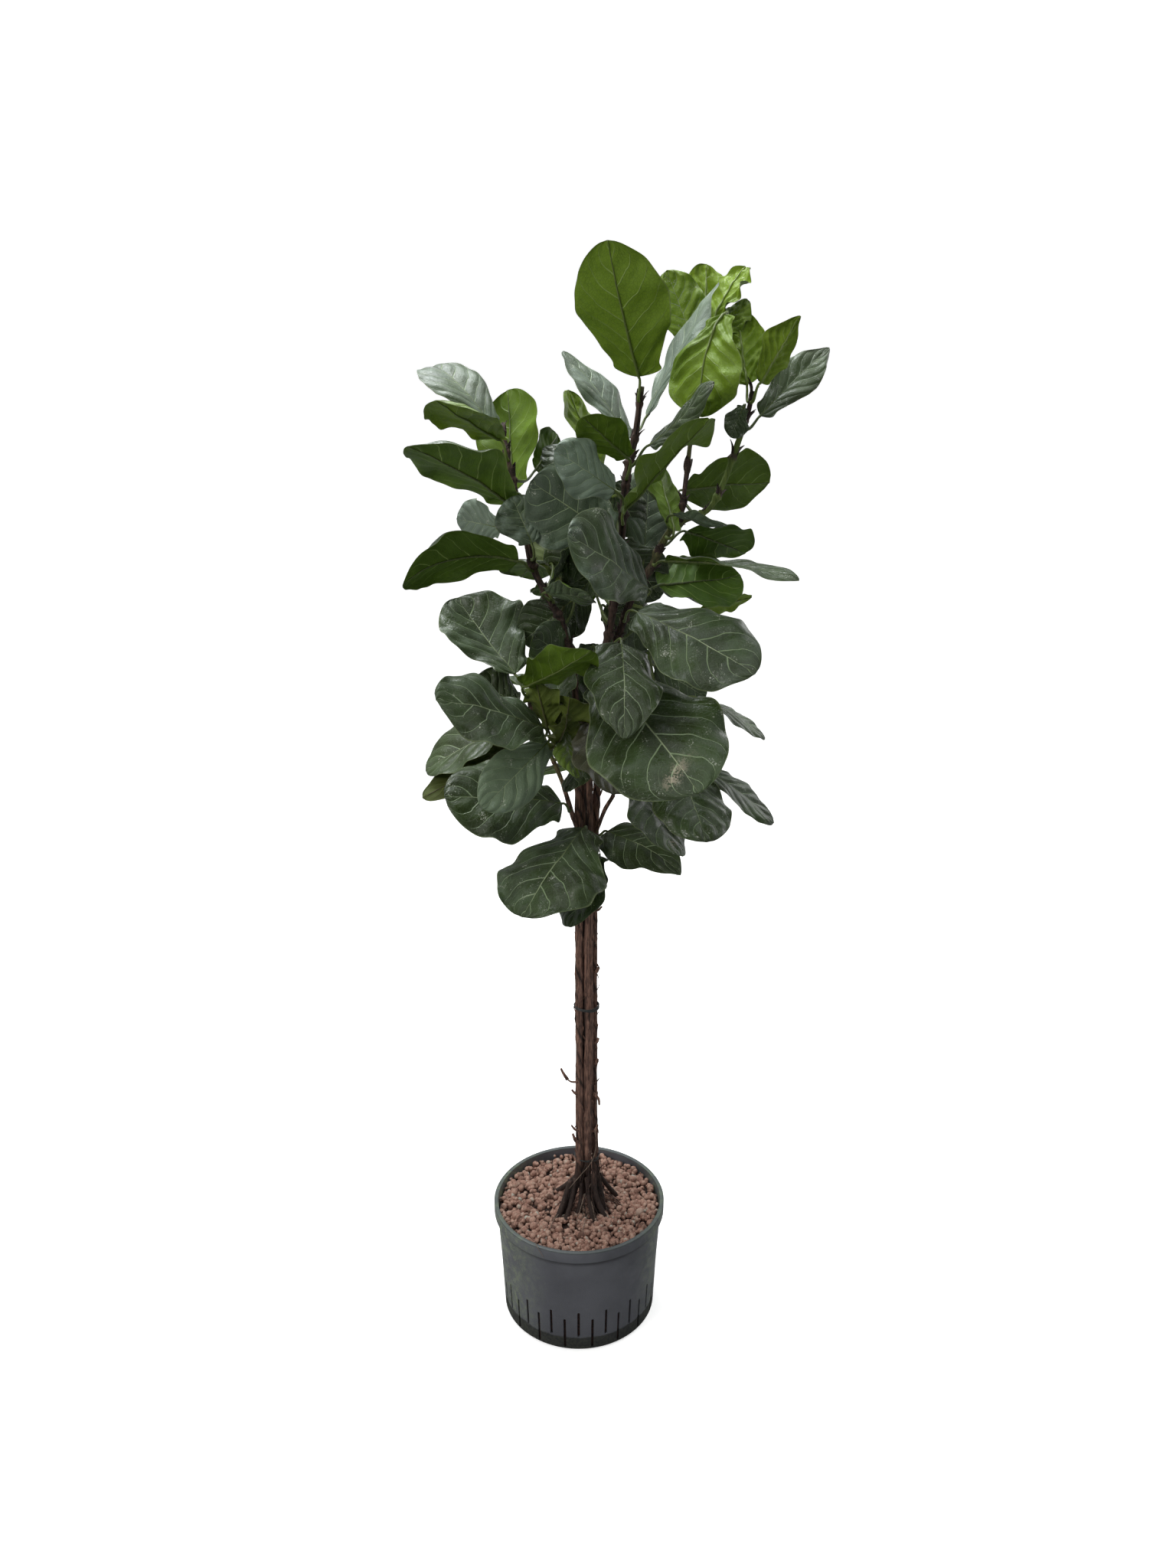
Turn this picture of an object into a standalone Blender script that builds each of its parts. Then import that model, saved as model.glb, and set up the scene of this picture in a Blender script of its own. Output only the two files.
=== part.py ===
"""Potted fiddle leaf fig: a slotted culture pot of expanded clay, three stems tied
in one bundle, and big fiddle-shaped leaves on petioles, each leaf a piece of its own.

Tables are in centimetres and degrees; the meshes are in metres, +Z up, with the
origin at the centre of the pot's underside.
"""

import math

import bmesh
import bpy
import numpy as np
from mathutils import Matrix, Vector

CM = 0.01
GAP = 0.03                    # clearance between pieces that touch, cm

# ---- pot ----------------------------------------------------------------
POT_HEIGHT = 19.5
RIM_RADIUS = 14.0
FOOT_RADIUS = 12.1
WALL = 0.2
FLOOR = 0.25
SKIRT_DEPTH = 1.9             # the rim's turned-down band
SLOTS = 36
SLOT_WIDTH = 0.36
LOW_SLOT = (0.5, 6.1)         # bottom and top of the odd slots
HIGH_SLOT = (2.7, 7.5)        # and of the even ones
FLOOR_SLOTS = 12
FLOOR_SLOT_SPAN = (5.0, 10.5)

# outer wall below the rim band: height, radius
WALL_PROFILE = ((0.0, FOOT_RADIUS), (0.4, 12.5), (9.0, 12.9), (15.0, 13.3), (19.2, 13.5))

# ---- clay ---------------------------------------------------------------
CLAY_TOP = 18.4
CLAY_CROWN = 0.25             # how much higher the clay is around the stems
SOCKET_POINTS = 5             # points of a stem's route that reach down into the clay

# ---- stems: (x, y, z, radius) from the roots up -------------------------
STEMS = {
    "left": ((-3.0, -3.0, 16.0, 0.75), (-2.3, -2.4, 19.0, 0.85), (-0.9, -1.3, 22.0, 0.7),
             (0.0, -0.6, 26.0, 0.52), (0.1, -0.5, 45.0, 0.5), (0.1, -0.5, 65.0, 0.5),
             (0.1, -0.5, 82.0, 0.52), (0.0, -0.5, 97.0, 0.5), (-0.8, -1.0, 108.0, 0.5),
             (-2.1, -1.5, 114.0, 0.5), (-3.9, -2.0, 117.5, 0.48), (-6.0, -2.0, 121.5, 0.5),
             (-7.0, -2.0, 126.0, 0.48), (-8.2, -1.0, 131.0, 0.42), (-9.4, 0.5, 136.0, 0.36),
             (-10.2, 2.0, 140.0, 0.3)),
    "middle": ((0.9, 2.8, 16.0, 0.9), (1.0, 2.2, 19.0, 0.95), (1.1, 1.2, 22.5, 0.8),
               (1.3, 0.1, 27.0, 0.72), (1.4, 0.0, 45.0, 0.75), (1.4, 0.0, 65.0, 0.75),
               (1.4, 0.0, 82.0, 0.72), (1.6, 0.0, 97.0, 0.65), (2.8, 0.0, 106.5, 0.6),
               (4.5, -0.8, 113.0, 0.55), (5.5, -1.5, 120.0, 0.52), (6.1, -2.0, 126.0, 0.5),
               (6.4, -2.0, 131.0, 0.5), (7.1, -1.2, 136.0, 0.48), (8.0, -1.0, 140.0, 0.42),
               (8.6, -1.0, 145.5, 0.34)),
    "right": ((3.9, -3.0, 16.0, 0.8), (3.5, -2.4, 19.0, 0.85), (3.0, -0.8, 22.5, 0.65),
              (2.6, 0.7, 27.0, 0.45), (2.4, 1.0, 45.0, 0.45), (2.4, 1.0, 65.0, 0.45),
              (2.5, 1.0, 82.0, 0.48), (3.4, 1.2, 97.0, 0.5), (5.0, 1.2, 108.5, 0.5),
              (7.4, 1.0, 116.5, 0.52), (10.2, 0.2, 121.5, 0.5), (12.3, -1.0, 126.0, 0.48),
              (14.3, -1.0, 128.0, 0.45), (18.0, -0.4, 129.6, 0.4), (20.1, 0.0, 133.2, 0.4),
              (21.8, 0.0, 138.2, 0.4), (23.0, 0.0, 142.0, 0.36), (23.6, 0.0, 145.0, 0.3)),
}

# side shoots, each starting inside the stem that it grows from
SHOOTS = {
    "left_low_shoot": ((0.0, -0.6, 83.0, 0.3), (-1.1, -2.0, 87.0, 0.36),
                       (-2.3, -3.0, 91.5, 0.34), (-3.8, -4.0, 95.5, 0.34),
                       (-5.4, -4.6, 98.5, 0.34), (-6.3, -5.0, 102.5, 0.34),
                       (-7.0, -5.0, 105.5, 0.3)),
    "right_low_shoot": ((2.6, 0.9, 82.0, 0.25), (3.8, -0.4, 86.0, 0.3),
                        (5.2, -1.6, 89.0, 0.28)),
    "right_side_shoot": ((3.2, 1.1, 93.0, 0.3), (6.0, 1.2, 96.0, 0.34), (10.0, 1.5, 97.5, 0.34),
                         (14.0, 2.5, 99.0, 0.3)),
    "right_top_shoot": ((14.3, -1.0, 128.0, 0.3), (15.0, 0.8, 134.0, 0.34),
                        (15.6, 2.0, 139.0, 0.3), (16.2, 3.6, 145.0, 0.3),
                        (17.0, 7.0, 152.5, 0.28)),
}
SHOOTS_OF = {"left": ("left_low_shoot",), "middle": (),
             "right": ("right_low_shoot", "right_side_shoot", "right_top_shoot")}
ROUTES = {**STEMS, **SHOOTS}

# ---- ties round the bundle: height, thickness ----------------------------
TIES = {"tie_low": (27.0, 0.08), "tie_middle": (54.0, 0.16), "tie_high": (75.0, 0.08)}
TIE_SLACK = 0.1
TIE_SIDES = 14

# ---- leaves --------------------------------------------------------------
# name: stem or shoot, blade base, blade tip, width, roll about the line from base
# to tip (0 = upper side up), droop along the blade, cup of its two halves, twist
LEAVES = {
    # crown of the middle stem
    "leaf_top": ("middle", (8.2, -2.4, 146.6), (3.8, -13, 160.8), 12.8, 0, -10, 8, 0),
    "leaf_top_behind": ("middle", (9.5, 2, 142), (19, 4, 159), 11, 0, 10, 10, 0),
    "leaf_crown_left": ("middle", (7, 2, 139), (-2, 9, 151), 9, -5, 15, 15, 0),
    "leaf_crown_yellow": ("middle", (3.5, 7, 133.4), (-1.4, 11, 146), 9.5, -170, 0, 5, 0),
    "leaf_crown_small": ("middle", (6.8, -4.5, 136.3), (0.8, -12, 141), 6.5, 30, 0, 15, 0),
    "leaf_crown_curled": ("middle", (9.6, -4.6, 138), (17, -12.6, 145), 5.6, 65, -30, -10, 0),
    "leaf_crown_pale": ("middle", (4.9, -9.5, 132.2), (-2.7, -13.5, 137), 8.5, -68, 5, 10, 0),
    "leaf_crown_twisted": ("middle", (6.6, -6.5, 130), (16, -17, 140.5), 13, 35, 0, 18, -30),
    "leaf_centre_sheen": ("middle", (4.6, -4.4, 126.4), (-6, -8, 133.3), 13, -100, 10, 8, 0),
    "leaf_centre_big": ("middle", (9.5, -7, 119.5), (-1, -18, 127), 13, -65, 10, 15, 0),
    "leaf_front_hanging": ("middle", (6, -8, 112.2), (6, -21, 102), 11, -15, 20, 5, 0),
    "leaf_front_low_big": ("middle", (4, -7, 107.6), (15.6, -22, 95.2), 20, 22, 10, 3, 0),
    # the right branch and its young leaves
    "leaf_young_broad": ("right_top_shoot", (19, -3, 154), (16.4, -5, 141.4), 12.4, 172, -60, -10, 0),
    "leaf_young_left": ("right_top_shoot", (16.5, 8.5, 151.5), (12.4, 9.5, 161.5), 7.5, -80, 0, 5, 0),
    "leaf_young_back": ("right_top_shoot", (18, 11, 154), (18.5, 16.5, 163.5), 6.5, -165, 0, 5, 0),
    "leaf_young_right": ("right_top_shoot", (18.5, 7, 154), (23.4, 10, 162), 7, -165, -20, -5, 0),
    "leaf_tip_right": ("right", (24.3, -1.5, 146), (29.5, 0, 154.3), 6.5, -70, 0, 20, 0),
    "leaf_tip_left": ("right", (23, 2, 146), (22, 7, 156), 7, 165, 0, 15, 0),
    "leaf_tip_outer": ("right", (25, 1.5, 142), (35.2, 8, 151.3), 6.4, 50, 25, 15, 0),
    "leaf_branch_back": ("right", (15, 4, 132.2), (28, 10, 133.2), 11.5, -50, 10, 15, 0),
    "leaf_branch_inner": ("right", (9.5, 4, 123), (10.5, 10, 135), 10, 40, 0, 8, 0),
    "leaf_branch_folded": ("right", (13, -5, 127), (11, 3, 136), 7, -150, 0, 15, 0),
    "leaf_branch_green": ("right", (15.5, 3, 126.5), (25, 11, 123), 10, -30, 10, 10, 0),
    "leaf_right_long": ("right", (12, -5, 123), (28, -16, 121.3), 6.5, -32, 20, 15, 60),
    "leaf_right_under": ("right", (11.5, 2, 119), (24, 8, 120), 12, -145, 10, 10, 0),
    "leaf_right_big": ("right", (8.2, -6, 116.2), (22.7, -18, 109.8), 13.8, 35, 15, 5, 0),
    "leaf_right_narrow": ("right_side_shoot", (18, 6, 102), (29, 10, 95), 7, 20, 20, 10, 0),
    "leaf_right_low": ("right_side_shoot", (18, 4, 92), (30, 4, 83), 8, 20, 20, 10, 0),
    "leaf_right_glossy": ("right_side_shoot", (14.4, -3, 94.8), (17.4, -16, 86.6), 11.6, -5, 10, 5, 0),
    "leaf_right_dark": ("right_side_shoot", (8, -6, 92), (13.6, -17, 85), 10.5, -25, 10, 5, 0),
    "leaf_right_curled": ("right", (4.4, -1.5, 83.4), (14.4, -12, 80.4), 11, 20, 25, 10, 0),
    # upper left
    "leaf_left_top": ("left", (-12, 4, 140.6), (-21.6, 11, 148.6), 10, -15, 40, 10, 0),
    "leaf_left_flat": ("left", (-10.5, -1, 138.8), (-17.5, -11, 143), 11, 0, 0, 8, 0),
    "leaf_left_upright": ("left", (-9, 4, 132), (-10, 11, 146), 11.5, 140, 0, 5, 0),
    "leaf_left_long": ("left", (-9, -4, 130.4), (-20.6, -15, 137.4), 15.4, 10, 20, 18, 0),
    "leaf_left_inner": ("left", (-6, -6.8, 125.4), (-8.5, -7, 131.4), 7.5, -80, 0, 10, 0),
    "leaf_left_arched": ("left", (-8, -5, 123), (-22, -15, 120.6), 10.5, 50, 70, 15, 0),
    "leaf_left_brown": ("left", (-2, 3, 119), (-6, 10, 126), 7, -180, 0, 5, 0),
    # lower left
    "leaf_left_cupped": ("left_low_shoot", (-8.8, -3, 107.2), (-17.6, 5, 117), 14, -20, -10, 32, 0),
    "leaf_left_bright": ("left_low_shoot", (-7, -9.2, 106.6), (1.8, -17, 112.6), 9.5, -25, -10, 20, 0),
    "leaf_left_shadow": ("left_low_shoot", (-8.5, -2, 102.6), (-14.5, -3, 106.4), 8, -60, 0, 8, 0),
    "leaf_left_wide": ("left_low_shoot", (-4.8, -8.6, 100.8), (-17.9, -18, 106.4), 15, -35, 20, 8, 0),
    "leaf_left_olive": ("left_low_shoot", (-8, 1, 99), (-22.6, 1, 92), 11, -25, 25, 20, 0),
    "leaf_left_folded": ("left_low_shoot", (-4, -8, 98.6), (-12.3, -19, 92.2), 8, -50, 20, 5, 0),
    "leaf_left_low_big": ("left_low_shoot", (-2.4, -5, 88.8), (-18, -13, 92), 14.5, -40, 15, 5, 0),
    "leaf_stem_brown": ("middle", (2, -5, 101.5), (5, -15, 93), 11, -20, 10, 10, 0),
    "leaf_front_low": ("left", (0.8, -5, 85), (-7.4, -18, 76.6), 17, 0, 15, 5, 0),
    "leaf_front_low_behind": ("middle", (3, -3, 80), (-1, -13, 73), 9, 25, 10, 5, 0),
    # the far side
    "leaf_back_high": ("middle", (5, 5, 129), (2, 19, 128), 12, 0, 25, 8, 0),
    "leaf_back_middle": ("middle", (3, 6, 110), (8, 20, 104), 13, 0, 25, 8, 0),
    "leaf_back_low": ("left", (0, 5, 92), (-8, 18, 86), 13, 0, 25, 8, 0),
}
PETIOLE = 0.2                 # its radius
PETIOLE_DROP = 2.5            # how far below the blade's base it leaves the stem
BLADE_THICKNESS = 0.16        # at the midrib
BLADE_STATIONS = (0.0, 0.06, 0.2, 0.38, 0.56, 0.74, 0.9, 1.0)
TIP_WIDTH = 0.5

COLOURS = {
    "pot": ((0.085, 0.085, 0.095), 0.6),
    "clay": ((0.24, 0.12, 0.08), 0.95),
    "bark": ((0.09, 0.055, 0.045), 0.9),
    "tie": ((0.30, 0.27, 0.20), 0.7),
    "leaf": ((0.035, 0.085, 0.030), 0.4),
}


# ---- helpers ---------------------------------------------------------------

def clear_scene():
    for obj in list(bpy.data.objects):
        bpy.data.objects.remove(obj, do_unlink=True)


def new_collection(name):
    collection = bpy.data.collections.new(name)
    bpy.context.scene.collection.children.link(collection)
    return collection


def add_object(name, data, collection):
    obj = bpy.data.objects.new(name, data)
    collection.objects.link(obj)
    return obj


def give_material(obj, kind):
    colour, roughness = COLOURS[kind]
    material = bpy.data.materials.new(obj.name + "_" + kind)
    material.use_nodes = True
    shader = material.node_tree.nodes["Principled BSDF"]
    shader.inputs["Base Color"].default_value = (*colour, 1.0)
    shader.inputs["Roughness"].default_value = roughness
    obj.data.materials.clear()
    obj.data.materials.append(material)


def finish_mesh(bm, name, collection, kind):
    bmesh.ops.recalc_face_normals(bm, faces=bm.faces)
    mesh = bpy.data.meshes.new(name)
    bm.to_mesh(mesh)
    bm.free()
    obj = add_object(name, mesh, collection)
    give_material(obj, kind)
    return obj


def turned(name, profile, collection, kind, steps=SLOTS):
    """A solid of revolution: the profile (radius, height) is spun round Z in half steps."""
    curve = bpy.data.meshes.new(name)
    verts = [(radius * CM, 0.0, height * CM) for radius, height in profile]
    curve.from_pydata(verts, [(i, i + 1) for i in range(len(verts) - 1)], [])
    obj = add_object(name, curve, collection)
    screw = obj.modifiers.new("turn", "SCREW")
    screw.steps = steps
    screw.render_steps = steps
    screw.use_merge_vertices = True
    screw.merge_threshold = 0.0001
    give_material(obj, kind)
    return obj


def cut(obj, cutter):
    boolean = obj.modifiers.new("cut", "BOOLEAN")
    boolean.operation = "DIFFERENCE"
    boolean.object = cutter
    cutter.hide_render = True
    cutter.display_type = "WIRE"


def smooth_route(points, steps=2):
    """Catmull-Rom curve through rows of numbers, with steps spans between each two."""
    rows = np.array(points, float)
    rows = np.vstack([2 * rows[0] - rows[1], rows, 2 * rows[-1] - rows[-2]])
    route = []
    for a, b, c, d in zip(rows, rows[1:], rows[2:], rows[3:]):
        for t in np.arange(steps) / steps:
            route.append(0.5 * (2 * b + (c - a) * t + (2 * a - 5 * b + 4 * c - d) * t ** 2
                                + (3 * b - a - 3 * c + d) * t ** 3))
    route.append(rows[-2])
    return np.array(route)


def tube(name, route, collection, closed=False):
    """A closed tube mesh along rows of (x, y, z, radius)."""
    curve = bpy.data.curves.new(name, "CURVE")
    curve.dimensions = "3D"
    curve.bevel_depth = CM
    curve.bevel_resolution = 2
    curve.use_fill_caps = not closed
    spline = curve.splines.new("POLY")
    spline.points.add(len(route) - 1)
    for point, (x, y, z, radius) in zip(spline.points, route):
        point.co = (x * CM, y * CM, z * CM, 1.0)
        point.radius = radius
    spline.use_cyclic_u = closed
    drawn = add_object(name + "_curve", curve, collection)
    graph = bpy.context.evaluated_depsgraph_get()
    mesh = bpy.data.meshes.new_from_object(drawn.evaluated_get(graph))
    bpy.data.objects.remove(drawn, do_unlink=True)
    bm = bmesh.new()
    bm.from_mesh(mesh)
    bmesh.ops.remove_doubles(bm, verts=bm.verts, dist=1e-6)
    bmesh.ops.recalc_face_normals(bm, faces=bm.faces)
    bm.to_mesh(mesh)
    bm.free()
    mesh.name = name
    return add_object(name, mesh, collection)


# ---- pot and clay ------------------------------------------------------------

def wall_radius(height):
    heights, radii = zip(*WALL_PROFILE)
    return float(np.interp(height, heights, radii))


def make_pot(parts, cutters):
    inner = [(0.0, FLOOR), (FOOT_RADIUS - WALL, FLOOR)]
    inner += [(radius - WALL, height) for height, radius in WALL_PROFILE if height > FLOOR]
    lip = [(RIM_RADIUS - 0.65, POT_HEIGHT - 0.05), (RIM_RADIUS - 0.5, POT_HEIGHT),
           (RIM_RADIUS - 0.1, POT_HEIGHT), (RIM_RADIUS, POT_HEIGHT - 0.1),
           (RIM_RADIUS, POT_HEIGHT - SKIRT_DEPTH), (RIM_RADIUS - 0.18, POT_HEIGHT - SKIRT_DEPTH),
           (RIM_RADIUS - 0.18, POT_HEIGHT - 0.25)]
    outer = [(radius, height) for height, radius in reversed(WALL_PROFILE)]
    pot = turned("pot", inner + lip + outer + [(0.0, 0.0)], parts, "pot")
    pot.rotation_euler.z = math.radians(180 / SLOTS)

    bm = bmesh.new()
    for slot in range(SLOTS):
        low, high = HIGH_SLOT if slot % 2 == 0 else LOW_SLOT
        turn = Matrix.Rotation(2 * math.pi * slot / SLOTS - math.pi / 2, 4, "Z")
        place = turn @ Matrix.Translation(Vector((FOOT_RADIUS, 0, (low + high) / 2)) * CM)
        size = Matrix.Diagonal(Vector((3.0, SLOT_WIDTH, high - low, 100.0)) * CM)
        bmesh.ops.create_cube(bm, size=1.0, matrix=place @ size)
    for slot in range(FLOOR_SLOTS):
        near, far = FLOOR_SLOT_SPAN
        turn = Matrix.Rotation(2 * math.pi * (slot + 0.5) / FLOOR_SLOTS, 4, "Z")
        place = turn @ Matrix.Translation(Vector(((near + far) / 2, 0, 0)) * CM)
        size = Matrix.Diagonal(Vector((far - near, SLOT_WIDTH, 2.0, 100.0)) * CM)
        bmesh.ops.create_cube(bm, size=1.0, matrix=place @ size)
    cut(pot, finish_mesh(bm, "slot_cutter", cutters, "pot"))


def make_clay(parts, cutters):
    low = FLOOR + GAP
    heights = [height for height, _ in WALL_PROFILE if low < height < CLAY_TOP]
    side = [(wall_radius(height) - WALL - GAP * 2, height) for height in (CLAY_TOP, *heights[::-1])]
    profile = [(0.0, CLAY_TOP + CLAY_CROWN), (5.0, CLAY_TOP + CLAY_CROWN), (9.0, CLAY_TOP + 0.1)]
    profile += side + [(FOOT_RADIUS - WALL - GAP, low), (0.0, low)]
    clay = turned("clay_pebbles", profile, parts, "clay")
    clay.rotation_euler.z = math.radians(180 / SLOTS)
    for name, points in STEMS.items():
        socket = smooth_route(points)[:SOCKET_POINTS]
        socket[:, 3] += GAP * 2
        socket[0, 2] -= GAP * 2
        cut(clay, tube(name + "_socket", socket, cutters))


# ---- stems and ties ------------------------------------------------------------

def make_stem(name, parts, cutters):
    stem = tube("stem_" + name, smooth_route(STEMS[name]), parts)
    for shoot in SHOOTS_OF[name]:
        twig = tube(shoot, smooth_route(SHOOTS[shoot]), cutters)
        twig.hide_render = True
        twig.display_type = "WIRE"
        union = stem.modifiers.new(shoot, "BOOLEAN")
        union.operation = "UNION"
        union.object = twig
    give_material(stem, "bark")


def make_tie(name, parts):
    """A ring that keeps just outside all three stems at its height."""
    height, thickness = TIES[name]
    bundle = []
    for route in STEMS.values():
        x, y, z, radius = np.array(route).T
        bundle.append([np.interp(height, z, values) for values in (x, y, radius)])
    centre_x, centre_y, _ = np.mean(bundle, axis=0)
    ring = []
    for angle in np.linspace(0, 2 * math.pi, TIE_SIDES, endpoint=False):
        out_x, out_y = math.cos(angle), math.sin(angle)
        reach = max((x - centre_x) * out_x + (y - centre_y) * out_y + radius for x, y, radius in bundle)
        reach += thickness + TIE_SLACK
        ring.append((centre_x + reach * out_x, centre_y + reach * out_y, height, thickness))
    give_material(tube(name, ring, parts, closed=True), "tie")


# ---- leaves ------------------------------------------------------------

def half_outline(t):
    """Half-width of the fiddle shape at t along the blade, as a share of its widest."""
    body = np.sin(math.pi * np.clip(t, 0, 1) ** 1.3) ** 0.52
    waist = 1 - 0.13 * np.exp(-((t - 0.27) / 0.12) ** 2)
    ears = 0.2 * np.exp(-((t - 0.05) / 0.05) ** 2)
    return body * waist + ears


def blade_frame(base, tip, roll):
    """Forward, left and up directions of a blade on the line from base to tip."""
    forward = (tip - base) / np.linalg.norm(tip - base)
    left = np.cross((0.0, 0.0, 1.0), forward)
    left /= np.linalg.norm(left)
    up = np.cross(forward, left)
    r = math.radians(roll)
    return forward, left * math.cos(r) + up * math.sin(r), up * math.cos(r) - left * math.sin(r)


def midrib(base, tip, roll, droop, stations):
    """Points, forward, left and up directions along the blade's arc from base to tip."""
    forward, left, up = blade_frame(base, tip, roll)
    bend = math.radians(droop)
    chord = np.linalg.norm(tip - base)
    half = bend / 2
    for t in stations:
        angle = half - bend * t
        if abs(bend) < 1e-6:
            along, rise = t * chord, 0.0
        else:
            radius = chord / (2 * math.sin(half))
            along = radius * (math.sin(half) - math.sin(angle))
            rise = radius * (math.cos(angle) - math.cos(half))
        heading = forward * math.cos(angle) + up * math.sin(angle)
        top = up * math.cos(angle) - forward * math.sin(angle)
        yield base + forward * along + up * rise, heading, left, top


def petiole_rings(stem, base, heading, up):
    """Square rings of the leaf stalk, from just off the stem's bark to the blade's base."""
    route = smooth_route(ROUTES[stem], 6)
    target = base - np.array((0, 0, PETIOLE_DROP))
    nearest = int(np.argmin(np.linalg.norm(route[:, :3] - target, axis=1)))
    nearest = min(max(nearest, 1), len(route) - 2)
    along = route[nearest + 1, :3] - route[nearest - 1, :3]
    along /= np.linalg.norm(along)
    away = base - route[nearest, :3]
    away -= along * (away @ along)
    away /= np.linalg.norm(away)
    start = route[nearest, :3] + away * (route[nearest, 3] + 2 * GAP)
    reach = np.linalg.norm(base - start)
    for t in (0.0, 0.3, 0.65):
        early = start + away * reach * 0.45
        late = base - heading * reach * 0.35
        centre = ((1 - t) ** 3 * start + 3 * (1 - t) ** 2 * t * early + 3 * (1 - t) * t * t * late
                  + t ** 3 * base)
        ahead = (3 * (1 - t) ** 2 * (early - start) + 6 * (1 - t) * t * (late - early)
                 + 3 * t * t * (base - late))
        ahead /= np.linalg.norm(ahead)
        side = np.cross(up, ahead)
        side /= np.linalg.norm(side)
        top = np.cross(ahead, side)
        yield [centre + side * PETIOLE, centre + top * PETIOLE,
               centre - side * PETIOLE, centre - top * PETIOLE]


def blade_rings(base, tip, width, roll, droop, cup, twist):
    fold = math.radians(cup)
    for t, (point, _, left, top) in zip(BLADE_STATIONS, midrib(base, tip, roll, droop, BLADE_STATIONS)):
        turn = math.radians(twist) * t
        side = left * math.cos(turn) + top * math.sin(turn)
        up = top * math.cos(turn) - left * math.sin(turn)
        half = max(width / 2 * half_outline(t), TIP_WIDTH / 2)
        spread = side * half * math.cos(fold)
        lift = up * half * math.sin(fold)
        thick = up * BLADE_THICKNESS * (1 - 0.5 * t) / 2
        yield [point + spread + lift, point + thick, point - spread + lift, point - thick]


def make_leaf(name, parts):
    stem, base, tip, width, roll, droop, cup, twist = LEAVES[name]
    base, tip = np.array(base, float), np.array(tip, float)
    _, heading, _, up = next(midrib(base, tip, roll, droop, (0.0,)))
    rings = [*petiole_rings(stem, base, heading, up), *blade_rings(base, tip, width, roll, droop, cup, twist)]
    bm = bmesh.new()
    loft = [[bm.verts.new(Vector(corner) * CM) for corner in ring] for ring in rings]
    for before, after in zip(loft, loft[1:]):
        for edge, middle in ((0, 1), (2, 1), (2, 3), (0, 3)):
            # both faces of the blade are split along the same diagonal, so they stay parallel
            bm.faces.new((before[edge], before[middle], after[middle]))
            bm.faces.new((before[edge], after[middle], after[edge]))
    bm.faces.new(loft[0])
    bm.faces.new(loft[-1])
    finish_mesh(bm, name, parts, "leaf")


def build():
    clear_scene()
    parts = new_collection("potted_fiddle_leaf_fig")
    cutters = new_collection("cutters")
    make_pot(parts, cutters)
    make_clay(parts, cutters)
    for name in STEMS:
        make_stem(name, parts, cutters)
    for name in TIES:
        make_tie(name, parts)
    for name in LEAVES:
        make_leaf(name, parts)


build()
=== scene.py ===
"""Potted fiddle leaf fig: the finished leaves, bark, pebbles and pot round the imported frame.

Tables are in centimetres and degrees, as in the frame's own source; meshes are in metres.
"""

import math
import random

import bmesh
import bpy
import numpy as np
from mathutils import Matrix, Vector


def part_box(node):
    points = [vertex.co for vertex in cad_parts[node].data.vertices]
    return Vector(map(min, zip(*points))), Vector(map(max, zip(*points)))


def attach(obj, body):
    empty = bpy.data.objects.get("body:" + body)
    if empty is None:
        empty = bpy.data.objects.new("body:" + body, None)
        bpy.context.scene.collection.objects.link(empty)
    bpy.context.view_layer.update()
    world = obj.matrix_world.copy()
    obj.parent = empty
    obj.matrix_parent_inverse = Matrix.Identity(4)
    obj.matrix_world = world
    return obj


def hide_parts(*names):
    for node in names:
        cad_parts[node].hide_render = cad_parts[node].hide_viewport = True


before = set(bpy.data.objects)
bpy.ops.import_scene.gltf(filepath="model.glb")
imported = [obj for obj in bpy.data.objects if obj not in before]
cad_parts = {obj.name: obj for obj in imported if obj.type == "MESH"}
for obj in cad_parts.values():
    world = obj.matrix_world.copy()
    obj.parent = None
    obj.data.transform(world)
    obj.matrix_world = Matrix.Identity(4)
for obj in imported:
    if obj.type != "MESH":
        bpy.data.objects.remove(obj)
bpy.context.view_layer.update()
CM = 0.01
UP = np.array((0.0, 0.0, 1.0))

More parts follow.
